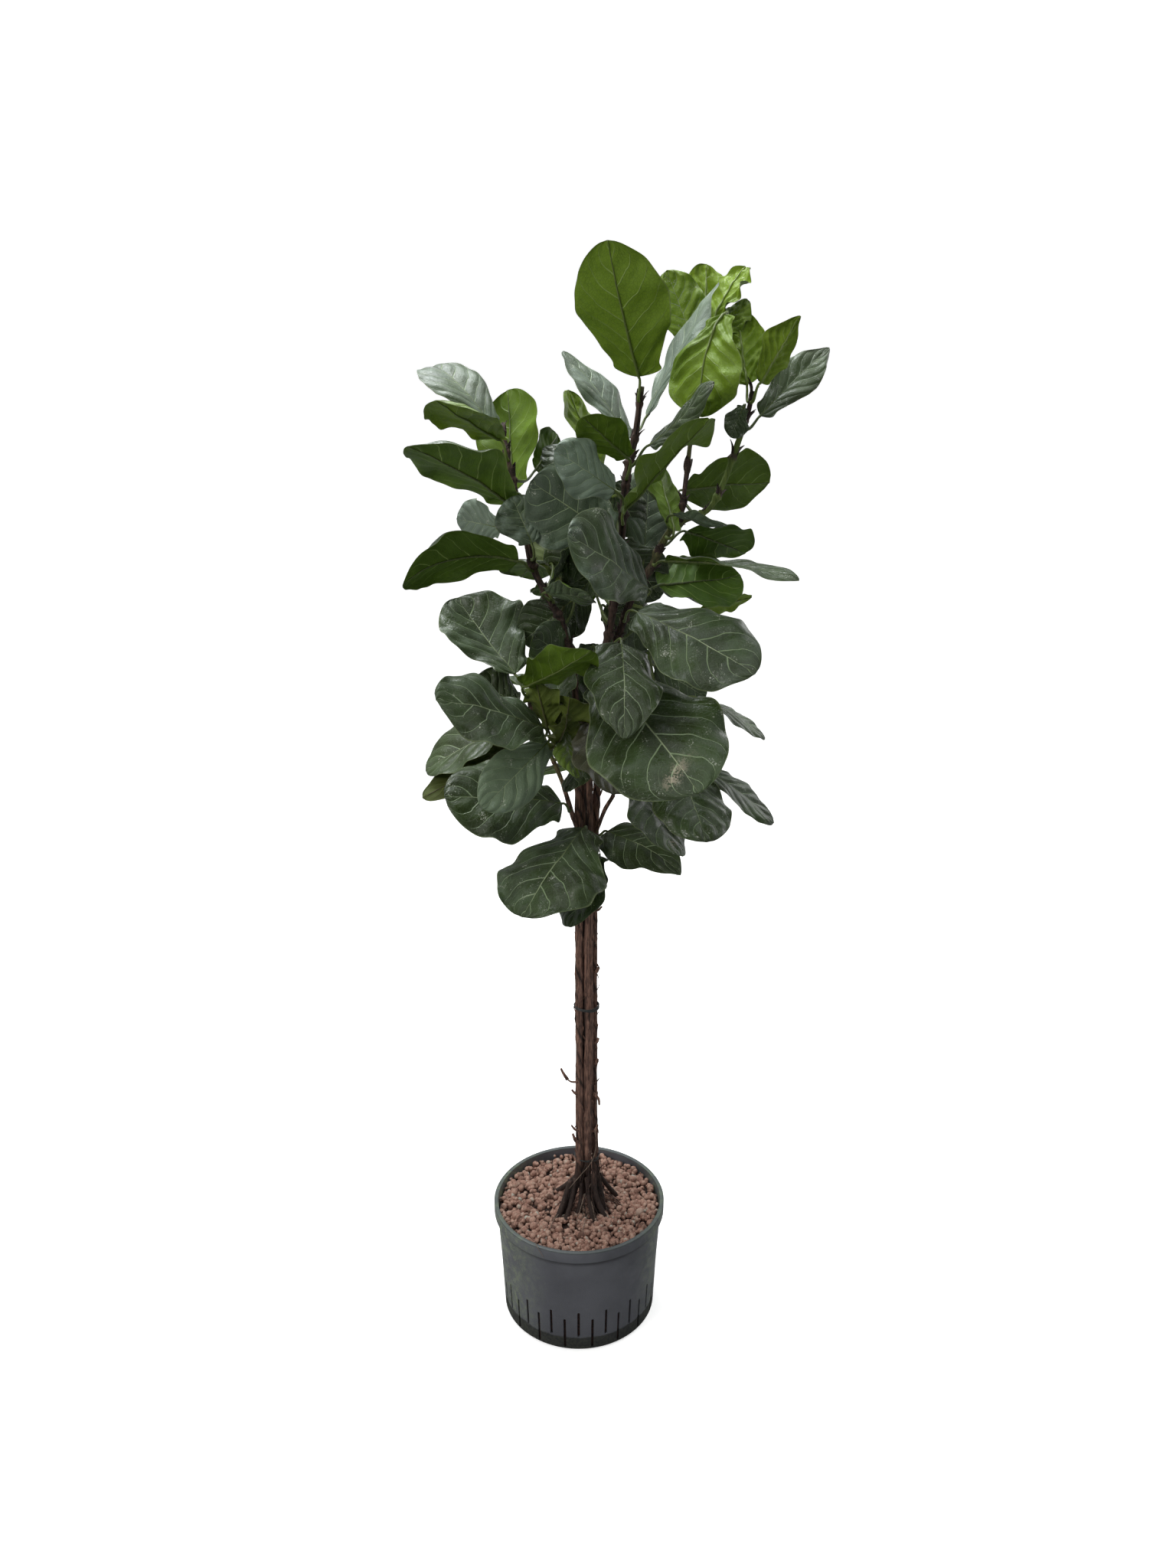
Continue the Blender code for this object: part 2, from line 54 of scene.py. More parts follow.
# ---- stem tables: (x, y, z, radius) from the roots up --------------------------------
STEMS = {
    "left": ((-3.0, -3.0, 16.0, 0.75), (-2.3, -2.4, 19.0, 0.85), (-0.9, -1.3, 22.0, 0.7),
             (0.0, -0.6, 26.0, 0.52), (0.1, -0.5, 45.0, 0.5), (0.1, -0.5, 65.0, 0.5),
             (0.1, -0.5, 82.0, 0.52), (0.0, -0.5, 97.0, 0.5), (-0.8, -1.0, 108.0, 0.5),
             (-2.1, -1.5, 114.0, 0.5), (-3.9, -2.0, 117.5, 0.48), (-6.0, -2.0, 121.5, 0.5),
             (-7.0, -2.0, 126.0, 0.48), (-8.2, -1.0, 131.0, 0.42), (-9.4, 0.5, 136.0, 0.36),
             (-10.2, 2.0, 140.0, 0.3)),
    "middle": ((0.9, 2.8, 16.0, 0.9), (1.0, 2.2, 19.0, 0.95), (1.1, 1.2, 22.5, 0.8),
               (1.3, 0.1, 27.0, 0.72), (1.4, 0.0, 45.0, 0.75), (1.4, 0.0, 65.0, 0.75),
               (1.4, 0.0, 82.0, 0.72), (1.6, 0.0, 97.0, 0.65), (2.8, 0.0, 106.5, 0.6),
               (4.5, -0.8, 113.0, 0.55), (5.5, -1.5, 120.0, 0.52), (6.1, -2.0, 126.0, 0.5),
               (6.4, -2.0, 131.0, 0.5), (7.1, -1.2, 136.0, 0.48), (8.0, -1.0, 140.0, 0.42),
               (8.6, -1.0, 145.5, 0.34)),
    "right": ((3.9, -3.0, 16.0, 0.8), (3.5, -2.4, 19.0, 0.85), (3.0, -0.8, 22.5, 0.65),
              (2.6, 0.7, 27.0, 0.45), (2.4, 1.0, 45.0, 0.45), (2.4, 1.0, 65.0, 0.45),
              (2.5, 1.0, 82.0, 0.48), (3.4, 1.2, 97.0, 0.5), (5.0, 1.2, 108.5, 0.5),
              (7.4, 1.0, 116.5, 0.52), (10.2, 0.2, 121.5, 0.5), (12.3, -1.0, 126.0, 0.48),
              (14.3, -1.0, 128.0, 0.45), (18.0, -0.4, 129.6, 0.4), (20.1, 0.0, 133.2, 0.4),
              (21.8, 0.0, 138.2, 0.4), (23.0, 0.0, 142.0, 0.36), (23.6, 0.0, 145.0, 0.3)),
}
SHOOTS = {
    "left_low_shoot": ((0.0, -0.6, 83.0, 0.3), (-1.1, -2.0, 87.0, 0.36),
                       (-2.3, -3.0, 91.5, 0.34), (-3.8, -4.0, 95.5, 0.34),
                       (-5.4, -4.6, 98.5, 0.34), (-6.3, -5.0, 102.5, 0.34),
                       (-7.0, -5.0, 105.5, 0.3)),
    "right_low_shoot": ((2.6, 0.9, 82.0, 0.25), (3.8, -0.4, 86.0, 0.3),
                        (5.2, -1.6, 89.0, 0.28)),
    "right_side_shoot": ((3.2, 1.1, 93.0, 0.3), (6.0, 1.2, 96.0, 0.34), (10.0, 1.5, 97.5, 0.34),
                         (14.0, 2.5, 99.0, 0.3)),
    "right_top_shoot": ((14.3, -1.0, 128.0, 0.3), (15.0, 0.8, 134.0, 0.34),
                        (15.6, 2.0, 139.0, 0.3), (16.2, 3.6, 145.0, 0.3),
                        (17.0, 7.0, 152.5, 0.28)),
}
SHOOTS_OF = {"left": ("left_low_shoot",), "middle": (),
             "right": ("right_low_shoot", "right_side_shoot", "right_top_shoot")}
ROUTES = {**STEMS, **SHOOTS}

# ---- leaf tables ---------------------------------------------------------------------
# name: stem or shoot, blade base, blade tip, width, roll about the line from base
# to tip (0 = upper side up), droop along the blade, cup of its two halves, twist
LEAVES = {
    # crown of the middle stem
    "leaf_top": ("middle", (8.2, -2.4, 146.6), (3.8, -13, 160.8), 12.8, 0, -10, 8, 0),
    "leaf_top_behind": ("middle", (9.5, 2, 142), (19, 4, 159), 11, 0, 10, 10, 0),
    "leaf_crown_left": ("middle", (7, 2, 139), (-2, 9, 151), 9, -5, 15, 15, 0),
    "leaf_crown_yellow": ("middle", (3.5, 7, 133.4), (-1.4, 11, 146), 9.5, -170, 0, 5, 0),
    "leaf_crown_small": ("middle", (6.8, -4.5, 136.3), (0.8, -12, 141), 6.5, 30, 0, 15, 0),
    "leaf_crown_curled": ("middle", (9.6, -4.6, 138), (17, -12.6, 145), 5.6, 65, -30, -10, 0),
    "leaf_crown_pale": ("middle", (4.9, -9.5, 132.2), (-2.7, -13.5, 137), 8.5, -68, 5, 10, 0),
    "leaf_crown_twisted": ("middle", (6.6, -6.5, 130), (16, -17, 140.5), 13, 35, 0, 18, -30),
    "leaf_centre_sheen": ("middle", (4.6, -4.4, 126.4), (-6, -8, 133.3), 13, -100, 10, 8, 0),
    "leaf_centre_big": ("middle", (9.5, -7, 119.5), (-1, -18, 127), 13, -65, 10, 15, 0),
    "leaf_front_hanging": ("middle", (6, -8, 112.2), (6, -21, 102), 11, -15, 20, 5, 0),
    "leaf_front_low_big": ("middle", (4, -7, 107.6), (15.6, -22, 95.2), 20, 22, 10, 3, 0),
    # the right branch and its young leaves
    "leaf_young_broad": ("right_top_shoot", (19, -3, 154), (16.4, -5, 141.4), 12.4, 172, -60, -10, 0),
    "leaf_young_left": ("right_top_shoot", (16.5, 8.5, 151.5), (12.4, 9.5, 161.5), 7.5, -80, 0, 5, 0),
    "leaf_young_back": ("right_top_shoot", (18, 11, 154), (18.5, 16.5, 163.5), 6.5, -165, 0, 5, 0),
    "leaf_young_right": ("right_top_shoot", (18.5, 7, 154), (23.4, 10, 162), 7, -165, -20, -5, 0),
    "leaf_tip_right": ("right", (24.3, -1.5, 146), (29.5, 0, 154.3), 6.5, -70, 0, 20, 0),
    "leaf_tip_left": ("right", (23, 2, 146), (22, 7, 156), 7, 165, 0, 15, 0),
    "leaf_tip_outer": ("right", (25, 1.5, 142), (35.2, 8, 151.3), 6.4, 50, 25, 15, 0),
    "leaf_branch_back": ("right", (15, 4, 132.2), (28, 10, 133.2), 11.5, -50, 10, 15, 0),
    "leaf_branch_inner": ("right", (9.5, 4, 123), (10.5, 10, 135), 10, 40, 0, 8, 0),
    "leaf_branch_folded": ("right", (13, -5, 127), (11, 3, 136), 7, -150, 0, 15, 0),
    "leaf_branch_green": ("right", (15.5, 3, 126.5), (25, 11, 123), 10, -30, 10, 10, 0),
    "leaf_right_long": ("right", (12, -5, 123), (28, -16, 121.3), 6.5, -32, 20, 15, 60),
    "leaf_right_under": ("right", (11.5, 2, 119), (24, 8, 120), 12, -145, 10, 10, 0),
    "leaf_right_big": ("right", (8.2, -6, 116.2), (22.7, -18, 109.8), 13.8, 35, 15, 5, 0),
    "leaf_right_narrow": ("right_side_shoot", (18, 6, 102), (29, 10, 95), 7, 20, 20, 10, 0),
    "leaf_right_low": ("right_side_shoot", (18, 4, 92), (30, 4, 83), 8, 20, 20, 10, 0),
    "leaf_right_glossy": ("right_side_shoot", (14.4, -3, 94.8), (17.4, -16, 86.6), 11.6, -5, 10, 5, 0),
    "leaf_right_dark": ("right_side_shoot", (8, -6, 92), (13.6, -17, 85), 10.5, -25, 10, 5, 0),
    "leaf_right_curled": ("right", (4.4, -1.5, 83.4), (14.4, -12, 80.4), 11, 20, 25, 10, 0),
    # upper left
    "leaf_left_top": ("left", (-12, 4, 140.6), (-21.6, 11, 148.6), 10, -15, 40, 10, 0),
    "leaf_left_flat": ("left", (-10.5, -1, 138.8), (-17.5, -11, 143), 11, 0, 0, 8, 0),
    "leaf_left_upright": ("left", (-9, 4, 132), (-10, 11, 146), 11.5, 140, 0, 5, 0),
    "leaf_left_long": ("left", (-9, -4, 130.4), (-20.6, -15, 137.4), 15.4, 10, 20, 18, 0),
    "leaf_left_inner": ("left", (-6, -6.8, 125.4), (-8.5, -7, 131.4), 7.5, -80, 0, 10, 0),
    "leaf_left_arched": ("left", (-8, -5, 123), (-22, -15, 120.6), 10.5, 50, 70, 15, 0),
    "leaf_left_brown": ("left", (-2, 3, 119), (-6, 10, 126), 7, -180, 0, 5, 0),
    # lower left
    "leaf_left_cupped": ("left_low_shoot", (-8.8, -3, 107.2), (-17.6, 5, 117), 14, -20, -10, 32, 0),
    "leaf_left_bright": ("left_low_shoot", (-7, -9.2, 106.6), (1.8, -17, 112.6), 9.5, -25, -10, 20, 0),
    "leaf_left_shadow": ("left_low_shoot", (-8.5, -2, 102.6), (-14.5, -3, 106.4), 8, -60, 0, 8, 0),
    "leaf_left_wide": ("left_low_shoot", (-4.8, -8.6, 100.8), (-17.9, -18, 106.4), 15, -35, 20, 8, 0),
    "leaf_left_olive": ("left_low_shoot", (-8, 1, 99), (-22.6, 1, 92), 11, -25, 25, 20, 0),
    "leaf_left_folded": ("left_low_shoot", (-4, -8, 98.6), (-12.3, -19, 92.2), 8, -50, 20, 5, 0),
    "leaf_left_low_big": ("left_low_shoot", (-2.4, -5, 88.8), (-18, -13, 92), 14.5, -40, 15, 5, 0),
    "leaf_stem_brown": ("middle", (2, -5, 101.5), (5, -15, 93), 11, -20, 10, 10, 0),
    "leaf_front_low": ("left", (0.8, -5, 85), (-7.4, -18, 76.6), 17, 0, 15, 5, 0),
    "leaf_front_low_behind": ("middle", (3, -3, 80), (-1, -13, 73), 9, 25, 10, 5, 0),
    # the far side
    "leaf_back_high": ("middle", (5, 5, 129), (2, 19, 128), 12, 0, 25, 8, 0),
    "leaf_back_middle": ("middle", (3, 6, 110), (8, 20, 104), 13, 0, 25, 8, 0),
    "leaf_back_low": ("left", (0, 5, 92), (-8, 18, 86), 13, 0, 25, 8, 0),
}
# small, inner, withered and far-side leaves, which the frame leaves out
SMALL_LEAVES = {
    "leaf_left_pale": ("left", (-11, 4, 127), (-18, 11, 128), 7, -95, 0, 5, 0),
    "leaf_left_edge_on": ("left", (-4, -3, 119), (-1, 3, 124), 6, 120, 0, 5, 0),
    "leaf_left_grey": ("left", (-4, -8, 119), (2, -15, 119), 6, 145, 0, 5, 0),
    "leaf_left_dark_inner": ("left", (0, 1, 108), (-6, -6, 113), 8, -100, 0, 5, 0),
    "leaf_crown_back": ("left", (-6, 6, 135), (-3, 13, 140), 6, -110, 0, 5, 0),
    "leaf_crown_dark": ("middle", (3, 3, 134), (-5, 9, 138), 7, -40, 0, 5, 0),
    "leaf_right_behind": ("right", (18.5, 10, 115), (26.5, 13, 116.3), 5.5, -35, 0, 5, 0),
    "leaf_right_olive": ("right_side_shoot", (11, 8, 109), (14, 14, 102), 6, -95, 0, 5, 0),
    "leaf_right_shaded": ("right_side_shoot", (11.5, 5, 107), (19.5, 9, 101.5), 8.5, 80, 5, 8, 0),
    "leaf_branch_tip": ("right", (13, -7, 129), (19, -14, 128), 5, 155, 0, 10, 0),
    "leaf_stem_dark": ("middle", (1, -3, 96), (-1, -10, 92), 6, 30, 0, 5, 0),
    "leaf_stem_bright": ("left_low_shoot", (-2, -7, 100), (0, -14, 95), 5, -25, 0, 5, 0),
    "leaf_left_strip": ("left_low_shoot", (-9, 0, 97), (-22.6, -3, 89), 7, 150, 20, 10, 0),
    "leaf_young_low": ("right_top_shoot", (19, 6, 151.5), (23.4, 7.5, 157.5), 5, 30, 20, 5, 0),
    "leaf_tip_bud": ("right", (22.3, -1, 143), (20.6, -2, 139), 4, -80, 0, 10, 0),
    "leaf_inner_a": ("middle", (2, 2, 120), (-5, 6, 112), 9, -90, 10, 10, 0),
    "leaf_inner_b": ("middle", (4, 3, 116), (11, 7, 110), 9, 90, 10, 10, 0),
    "leaf_inner_c": ("middle", (1, 1, 127), (-4, 5, 120), 8.5, -90, 10, 10, 0),
    "leaf_inner_d": ("middle", (6, 3, 125), (12, 5, 117), 8.5, 90, 10, 10, 0),
    "leaf_inner_e": ("middle", (2, 3, 110), (-2, 6, 101), 9, -90, 10, 10, 0),
    "leaf_inner_f": ("right", (3, 3, 104), (8, 6, 97), 9, 90, 10, 10, 0),
    "leaf_inner_g": ("left", (-1, 0, 117), (-8, 2, 111), 8, -90, 10, 10, 0),
    "leaf_inner_h": ("middle", (5, 3, 133), (9, 6, 126), 7, 90, 10, 10, 0),
    "leaf_left_curtain": ("left_low_shoot", (-5, -2, 100), (-1, 0, 108.5), 7.5, 0, 0, 10, 0),
    "leaf_withered_a": ("left_low_shoot", (-4, -7, 100), (-5.5, -9, 107), 6, 10, 0, 30, 0),
    "leaf_withered_b": ("left_low_shoot", (-2, -6, 98), (-1, -9, 105), 7, -20, 0, 30, 0),
    "leaf_withered_c": ("left_low_shoot", (-3.4, -9, 98), (-1.5, -11, 103), 5, 20, -40, 30, 0),
    "leaf_back_a": ("middle", (2, 5, 118), (-5, 17, 116), 11, 10, 25, 8, 0),
    "leaf_back_b": ("right", (9, 5, 113), (14, 18, 110), 11, -10, 25, 8, 0),
    "leaf_back_c": ("left", (-4, 5, 122), (-9, 17, 119), 11, 10, 25, 8, 0),
    "leaf_back_d": ("right", (3, 5, 98), (6, 18, 94), 12, 0, 25, 8, 0),
    "leaf_back_e": ("left", (-2, 4, 104), (-9, 16, 102), 11, 15, 25, 8, 0),
    "leaf_back_f": ("middle", (8, 5, 122), (12, 17, 119), 10, -15, 25, 8, 0),
}
BLADE_THICKNESS = 0.07
# the stalk: how far below the blade it leaves the stem, its sides, and its radii inside the
# bark, outside it and at the blade, where it turns into the rib, which thins to the tip
STALK_DROP = 2.5
STALK_SIDES = 8
STALK_FOOT = 0.3
STALK_RADIUS = 0.24
RIB_RADIUS = 0.17
RIB_END = 0.035

# How a leaf looks where it differs from PLAIN. young runs from 0 (old and dark) to 1 (new
# and yellow green). The next three are the strengths of a pale grey coat on the upper side,
# which is partly dust and partly painted sheen, of withering and of a scab near the tip.
# wave of the margin is a share of the width, and blister of the panels between the veins is
# in cm. edge and curl are the degrees by which the margins and the tip turn down. point draws
# the tip out, and belly moves the widest place towards the tip.
PLAIN = {"young": 0.1, "dust_and_sheen": 0.2, "brown": 0.0, "scar": 0.0, "wave": 0.035, "edge": 32.0,
         "curl": 0.0, "blister": 0.12, "point": 0.15, "belly": 1.3}
LOOKS = {
    **{"leaf_inner_" + letter: {"dust_and_sheen": 0.0} for letter in "abcdefgh"},
    "leaf_right_under": {"young": 0.0},
    "leaf_branch_back": {"young": 0.25},
    "leaf_left_inner": {"dust_and_sheen": 1.0},
    "leaf_right_glossy": {"blister": 0.3, "dust_and_sheen": 0.0},
    "leaf_right_dark": {"scar": 0.8, "dust_and_sheen": 0.1},
    "leaf_front_low_big": {"scar": 0.8, "dust_and_sheen": 0.1, "edge": 14},
    "leaf_right_curled": {"belly": 0.85, "point": 0.9, "curl": 30},
    "leaf_left_folded": {"young": 0.3, "dust_and_sheen": 1.25},
    "leaf_left_strip": {"young": 0.0, "brown": 0.6},
    "leaf_left_shadow": {"dust_and_sheen": 0.0},
    "leaf_branch_inner": {"dust_and_sheen": 1.0},
    "leaf_left_top": {"dust_and_sheen": 0.6, "curl": 50, "blister": 0.05, "wave": 0.02},
    "leaf_centre_big": {"dust_and_sheen": 0.8},
    "leaf_centre_sheen": {"dust_and_sheen": 1.1, "wave": 0.05},
    "leaf_front_hanging": {"point": 0.7, "belly": 0.9, "dust_and_sheen": 0.0},
    "leaf_left_pale": {"dust_and_sheen": 1.3},
    "leaf_left_arched": {"point": 0.6},
    "leaf_left_long": {"point": 0.6, "wave": 0.015, "dust_and_sheen": 0.1},
    "leaf_right_long": {"point": 0.6, "dust_and_sheen": 0.1},
    "leaf_branch_tip": {"dust_and_sheen": 1.0, "point": 0.8},
    "leaf_tip_bud": {"dust_and_sheen": 0.0},
    "leaf_tip_outer": {"dust_and_sheen": 0.0, "point": 0.9, "young": 0.15, "blister": 0.05},
    "leaf_young_low": {"young": 1.0, "blister": 0.3, "wave": 0.09},
    "leaf_crown_curled": {"point": 0.4, "curl": 40, "edge": 20},
    "leaf_crown_pale": {"dust_and_sheen": 1.3, "blister": 0.03},
    "leaf_top": {"young": 0.5, "wave": 0.02, "edge": 12, "belly": 1.15},
    "leaf_top_behind": {"dust_and_sheen": 1.3, "point": 0.5, "blister": 0.06},
    "leaf_crown_left": {"dust_and_sheen": 1.0, "point": 0.7, "wave": 0.02, "blister": 0.05},
    "leaf_crown_yellow": {"young": 1.0, "blister": 0.2},
    "leaf_crown_small": {"young": 0.35},
    "leaf_crown_twisted": {"young": 0.4, "wave": 0.06},
    "leaf_young_broad": {"young": 0.6, "blister": 0.3, "edge": -40, "belly": 1.5},
    "leaf_young_left": {"young": 1.0, "blister": 0.35, "wave": 0.08},
    "leaf_young_back": {"young": 1.0, "blister": 0.3, "wave": 0.08},
    "leaf_young_right": {"young": 1.0, "blister": 0.25, "wave": 0.12},
    "leaf_tip_right": {"young": 0.9, "blister": 0.4, "curl": 20, "point": 1.0},
    "leaf_tip_left": {"young": 0.9, "blister": 0.4},
    "leaf_branch_folded": {"young": 0.4},
    "leaf_branch_green": {"young": 0.0},
    "leaf_left_flat": {"young": 0.8, "dust_and_sheen": 0.0},
    "leaf_left_upright": {"young": 0.35},
    "leaf_left_bright": {"young": 0.3, "wave": 0.06},
    "leaf_left_cupped": {"wave": 0.06},
    "leaf_left_brown": {"brown": 0.5},
    "leaf_left_olive": {"brown": 0.1},
    "leaf_stem_brown": {"brown": 0.8},
    "leaf_right_behind": {"young": 0.8},
    "leaf_stem_bright": {"young": 0.7},
    "leaf_withered_a": {"young": 0.35, "brown": 0.5, "wave": 0.15},
    "leaf_withered_b": {"young": 0.35, "brown": 0.55, "wave": 0.15},
    "leaf_withered_c": {"young": 0.35, "brown": 0.6, "wave": 0.15},
}

# the large leaves get a finer mesh: its rows, and its columns on each half of the blade
BIG_LEAVES = {"leaf_top", "leaf_centre_big", "leaf_front_low_big", "leaf_front_low",
              "leaf_young_broad", "leaf_left_long", "leaf_right_long", "leaf_right_big",
              "leaf_left_low_big"}
FINE_MESH = (88, 26)
COARSE_MESH = (58, 18)
# how far round a sine the columns run, which sets them closer at the margins
COLUMN_SWEEP = math.pi / 2 * 0.92
# where the scab lies and how far it reaches: along the blade, and across it from 0 to 1
SCAR_AT = (0.84, 0.3)
SCAR_REACH = (0.07, 0.1)

# veins, shared by the mesh and the shader: pairs along the blade, where the first begins, how
# far one half's are ahead of the other's, and how much a vein climbs towards the tip on its
# way to the margin, evenly and then in a loop
VEIN_PAIRS = 6.0
VEIN_START = 0.35
VEIN_STAGGER = 0.45
VEIN_CLIMB = 0.26
VEIN_LOOP = 0.10

# ---- pot and clay sizes --------------------------------------------------------------
POT_HEIGHT = 19.5
RIM_RADIUS = 14.0
FOOT_RADIUS = 12.1
WALL = 0.2
FLOOR = 0.25
SKIRT_DEPTH = 1.9
SLOTS = 36
SLOT_WIDTH = 0.4
LOW_SLOT = (0.5, 6.1)
HIGH_SLOT = (2.7, 7.5)
FLOOR_SLOTS = 12
FLOOR_SLOT_SPAN = (5.0, 10.5)
# the rim band from inside to outside: how far in from the rim and how far down each row is
RIM_BAND = ((0.68, 0.12), (0.62, 0.03), (0.52, 0.0), (0.14, 0.0), (0.05, 0.03), (0.0, 0.12),
            (0.0, 0.5), (0.02, SKIRT_DEPTH - 0.1), (0.05, SKIRT_DEPTH), (0.18, SKIRT_DEPTH),
            (0.18, 0.25))
# rows of (height, radius) up the outside of the wall
WALL_PROFILE = ((0.0, FOOT_RADIUS), (0.4, 12.5), (9.0, 12.9), (15.0, 13.3), (19.2, 13.5))
CLAY_TOP = 18.4
PEBBLES = 1950
PEBBLE_BATCH = 15
PEBBLE_RADII = (0.24, 0.31, 0.38, 0.43, 0.5, 0.62)
# gap between the clay and the pot's wall
CLAY_GAP = 0.12


# ---- shader building -----------------------------------------------------------------

class Graph:
    """Short words for building one node tree."""

    def __init__(self, tree):
        self.tree = tree

    def node(self, kind, **settings):
        made = self.tree.nodes.new(kind)
        for key, value in settings.items():
            setattr(made, key, value)
        return made

    def put(self, socket, value):
        if isinstance(value, bpy.types.NodeSocket):
            self.tree.links.new(value, socket)
        else:
            socket.default_value = value

    def math(self, operation, *values):
        made = self.node("ShaderNodeMath", operation=operation)
        for socket, value in zip(made.inputs, values):
            self.put(socket, value)
        return made.outputs[0]

    def times(self, first, second):
        return self.math("MULTIPLY", first, second)

    def plus(self, first, second):
        return self.math("ADD", first, second)

    def band(self, value, low, high, out_low=0.0, out_high=1.0):
        """Smoothly maps value from low..high to out_low..out_high, and clamps it."""
        made = self.node("ShaderNodeMapRange", interpolation_type="SMOOTHSTEP")
        for key, part in (("Value", value), ("From Min", low), ("From Max", high),
                          ("To Min", out_low), ("To Max", out_high)):
            self.put(made.inputs[key], part)
        return made.outputs["Result"]

    def mix(self, share, first, second):
        made = self.node("ShaderNodeMix", data_type="RGBA")
        self.put(made.inputs[0], share)
        self.put(made.inputs[6], first)
        self.put(made.inputs[7], second)
        return made.outputs[2]

    def coat(self, under, mask, share, colour):
        """A colour laid over the one under it where the mask is, share strong."""
        return self.mix(self.times(mask, share), under, colour)

    def noise(self, vector, scale, detail, roughness=0.55, distortion=0.0):
        made = self.node("ShaderNodeTexNoise")
        self.put(made.inputs["Vector"], vector)
        for key, value in (("Scale", scale), ("Detail", detail), ("Roughness", roughness),
                           ("Distortion", distortion)):
            self.put(made.inputs[key], value)
        return made.outputs["Fac"]

    def stretched(self, vector, scale):
        made = self.node("ShaderNodeMapping")
        self.put(made.inputs["Vector"], vector)
        made.inputs["Scale"].default_value = scale
        return made.outputs[0]

    def split(self, vector):
        """The x, y and z of a vector."""
        made = self.node("ShaderNodeSeparateXYZ")
        self.put(made.inputs[0], vector)
        return made.outputs

    def object_place(self):
        return self.node("ShaderNodeTexCoord").outputs["Object"]

    def attribute(self, name):
        return self.node("ShaderNodeAttribute", attribute_name=name)

    def group(self, tree, **inputs):
        made = self.node("ShaderNodeGroup")
        made.node_tree = tree
        for key, value in inputs.items():
            self.put(made.inputs[key.replace("_", " ")], value)
        return made.outputs

    def bump(self, height, distance, strength=1.0):
        made = self.node("ShaderNodeBump")
        self.put(made.inputs["Height"], height)
        made.inputs["Distance"].default_value = distance
        made.inputs["Strength"].default_value = strength
        return made.outputs[0]


def rgb(red, green, blue):
    """A colour given as a screen shows it, 0 to 255."""
    return tuple(((c / 255 + 0.055) / 1.055) ** 2.4 if c > 10 else c / 255 / 12.92
                 for c in (red, green, blue)) + (1.0,)


def new_group(name, inputs, outputs):
    """A shader node group with value or vector sockets; gives it, its graph and its ends."""
    kinds = {"value": "NodeSocketFloat", "vector": "NodeSocketVector"}
    tree = bpy.data.node_groups.new(name, "ShaderNodeTree")
    for direction, sockets in (("INPUT", inputs), ("OUTPUT", outputs)):
        for socket, kind in sockets:
            tree.interface.new_socket(socket, in_out=direction, socket_type=kinds[kind])
    graph = Graph(tree)
    return tree, graph, graph.node("NodeGroupInput").outputs, graph.node("NodeGroupOutput").inputs


def new_material(name):
    material = bpy.data.materials.new(name)
    material.use_nodes = True
    graph = Graph(material.node_tree)
    return material, graph, material.node_tree.nodes["Principled BSDF"].inputs


def make_vein_group():
    """Veins of a blade from its UV map: u across (0.5 on the midrib), v from base to tip."""
    tree, g, given, out = new_group(
        "blade_veins", (("Place", "vector"),),
        (("Midrib", "value"), ("Side Veins", "value"), ("Net", "value"), ("Panels", "value"),
         ("Margin", "value")))
    u, along, _ = g.split(given["Place"])
    side = g.math("MULTIPLY_ADD", u, 2.0, -1.0)
    across = g.math("ABSOLUTE", side)
    climb = g.times(across, VEIN_CLIMB)
    loop = g.times(g.math("POWER", across, 3.0), VEIN_LOOP)
    line = g.math("SUBTRACT", g.math("SUBTRACT", along, climb), loop)
    wobble = g.math("MULTIPLY_ADD", g.noise(given["Place"], 4.0, 2.0), 0.07, -0.035)
    line = g.plus(line, wobble)
    stagger = g.times(g.math("GREATER_THAN", side, 0.0), VEIN_STAGGER)
    phase = g.plus(g.math("MULTIPLY_ADD", line, VEIN_PAIRS, VEIN_START), stagger)
    near = g.math("ABSOLUTE", g.math("SUBTRACT", g.math("FRACT", phase), 0.5))
    from_vein = g.math("DIVIDE", g.math("SUBTRACT", 0.5, near), VEIN_PAIRS)
    width = g.math("MULTIPLY_ADD", across, -0.0055, 0.0095)
    vein = g.band(from_vein, 0.0, width, 1.0, 0.0)
    from_between = g.math("DIVIDE", near, VEIN_PAIRS)
    between = g.band(from_between, 0.0, g.times(width, 0.5), 0.2, 0.0)
    vein = g.math("MAXIMUM", vein, g.times(between, g.band(across, 0.1, 0.4)))
    vein = g.times(vein, g.band(across, 0.84, 0.97, 1.0, 0.0))
    g.put(out["Side Veins"], vein)
    midrib_width = g.math("MULTIPLY_ADD", along, -0.02, 0.03)
    g.put(out["Midrib"], g.band(across, 0.0, midrib_width, 1.0, 0.0))
    cells = g.node("ShaderNodeTexVoronoi", feature="DISTANCE_TO_EDGE")
    g.put(cells.inputs["Vector"], g.stretched(given["Place"], (1.0, 1.6, 1.0)))
    cells.inputs["Scale"].default_value = 26.0
    g.put(out["Net"], g.band(cells.outputs["Distance"], 0.0, 0.09, 1.0, 0.0))
    g.put(out["Panels"], g.times(g.band(from_vein, 0.0, 0.07), g.band(across, 0.0, 0.25)))
    g.put(out["Margin"], g.band(across, 0.965, 0.995))
    return tree


def make_spots_group():
    """Specks and blotches over a surface: two scales of noise cut to soft spots."""
    tree, g, given, out = new_group(
        "spots", (("Place", "vector"), ("Scale", "value"), ("Amount", "value")), (("Mask", "value"),))
    fine = g.noise(given["Place"], given["Scale"], 4.0, 0.7)
    broad = g.noise(given["Place"], g.times(given["Scale"], 0.12), 2.0)
    level = g.math("SUBTRACT", 1.0, given["Amount"])
    cut = g.plus(g.times(fine, 0.6), g.times(broad, 0.4))
    g.put(out["Mask"], g.band(cut, level, g.plus(level, 0.06)))
    return tree


VEINS = make_vein_group()
SPOTS = make_spots_group()


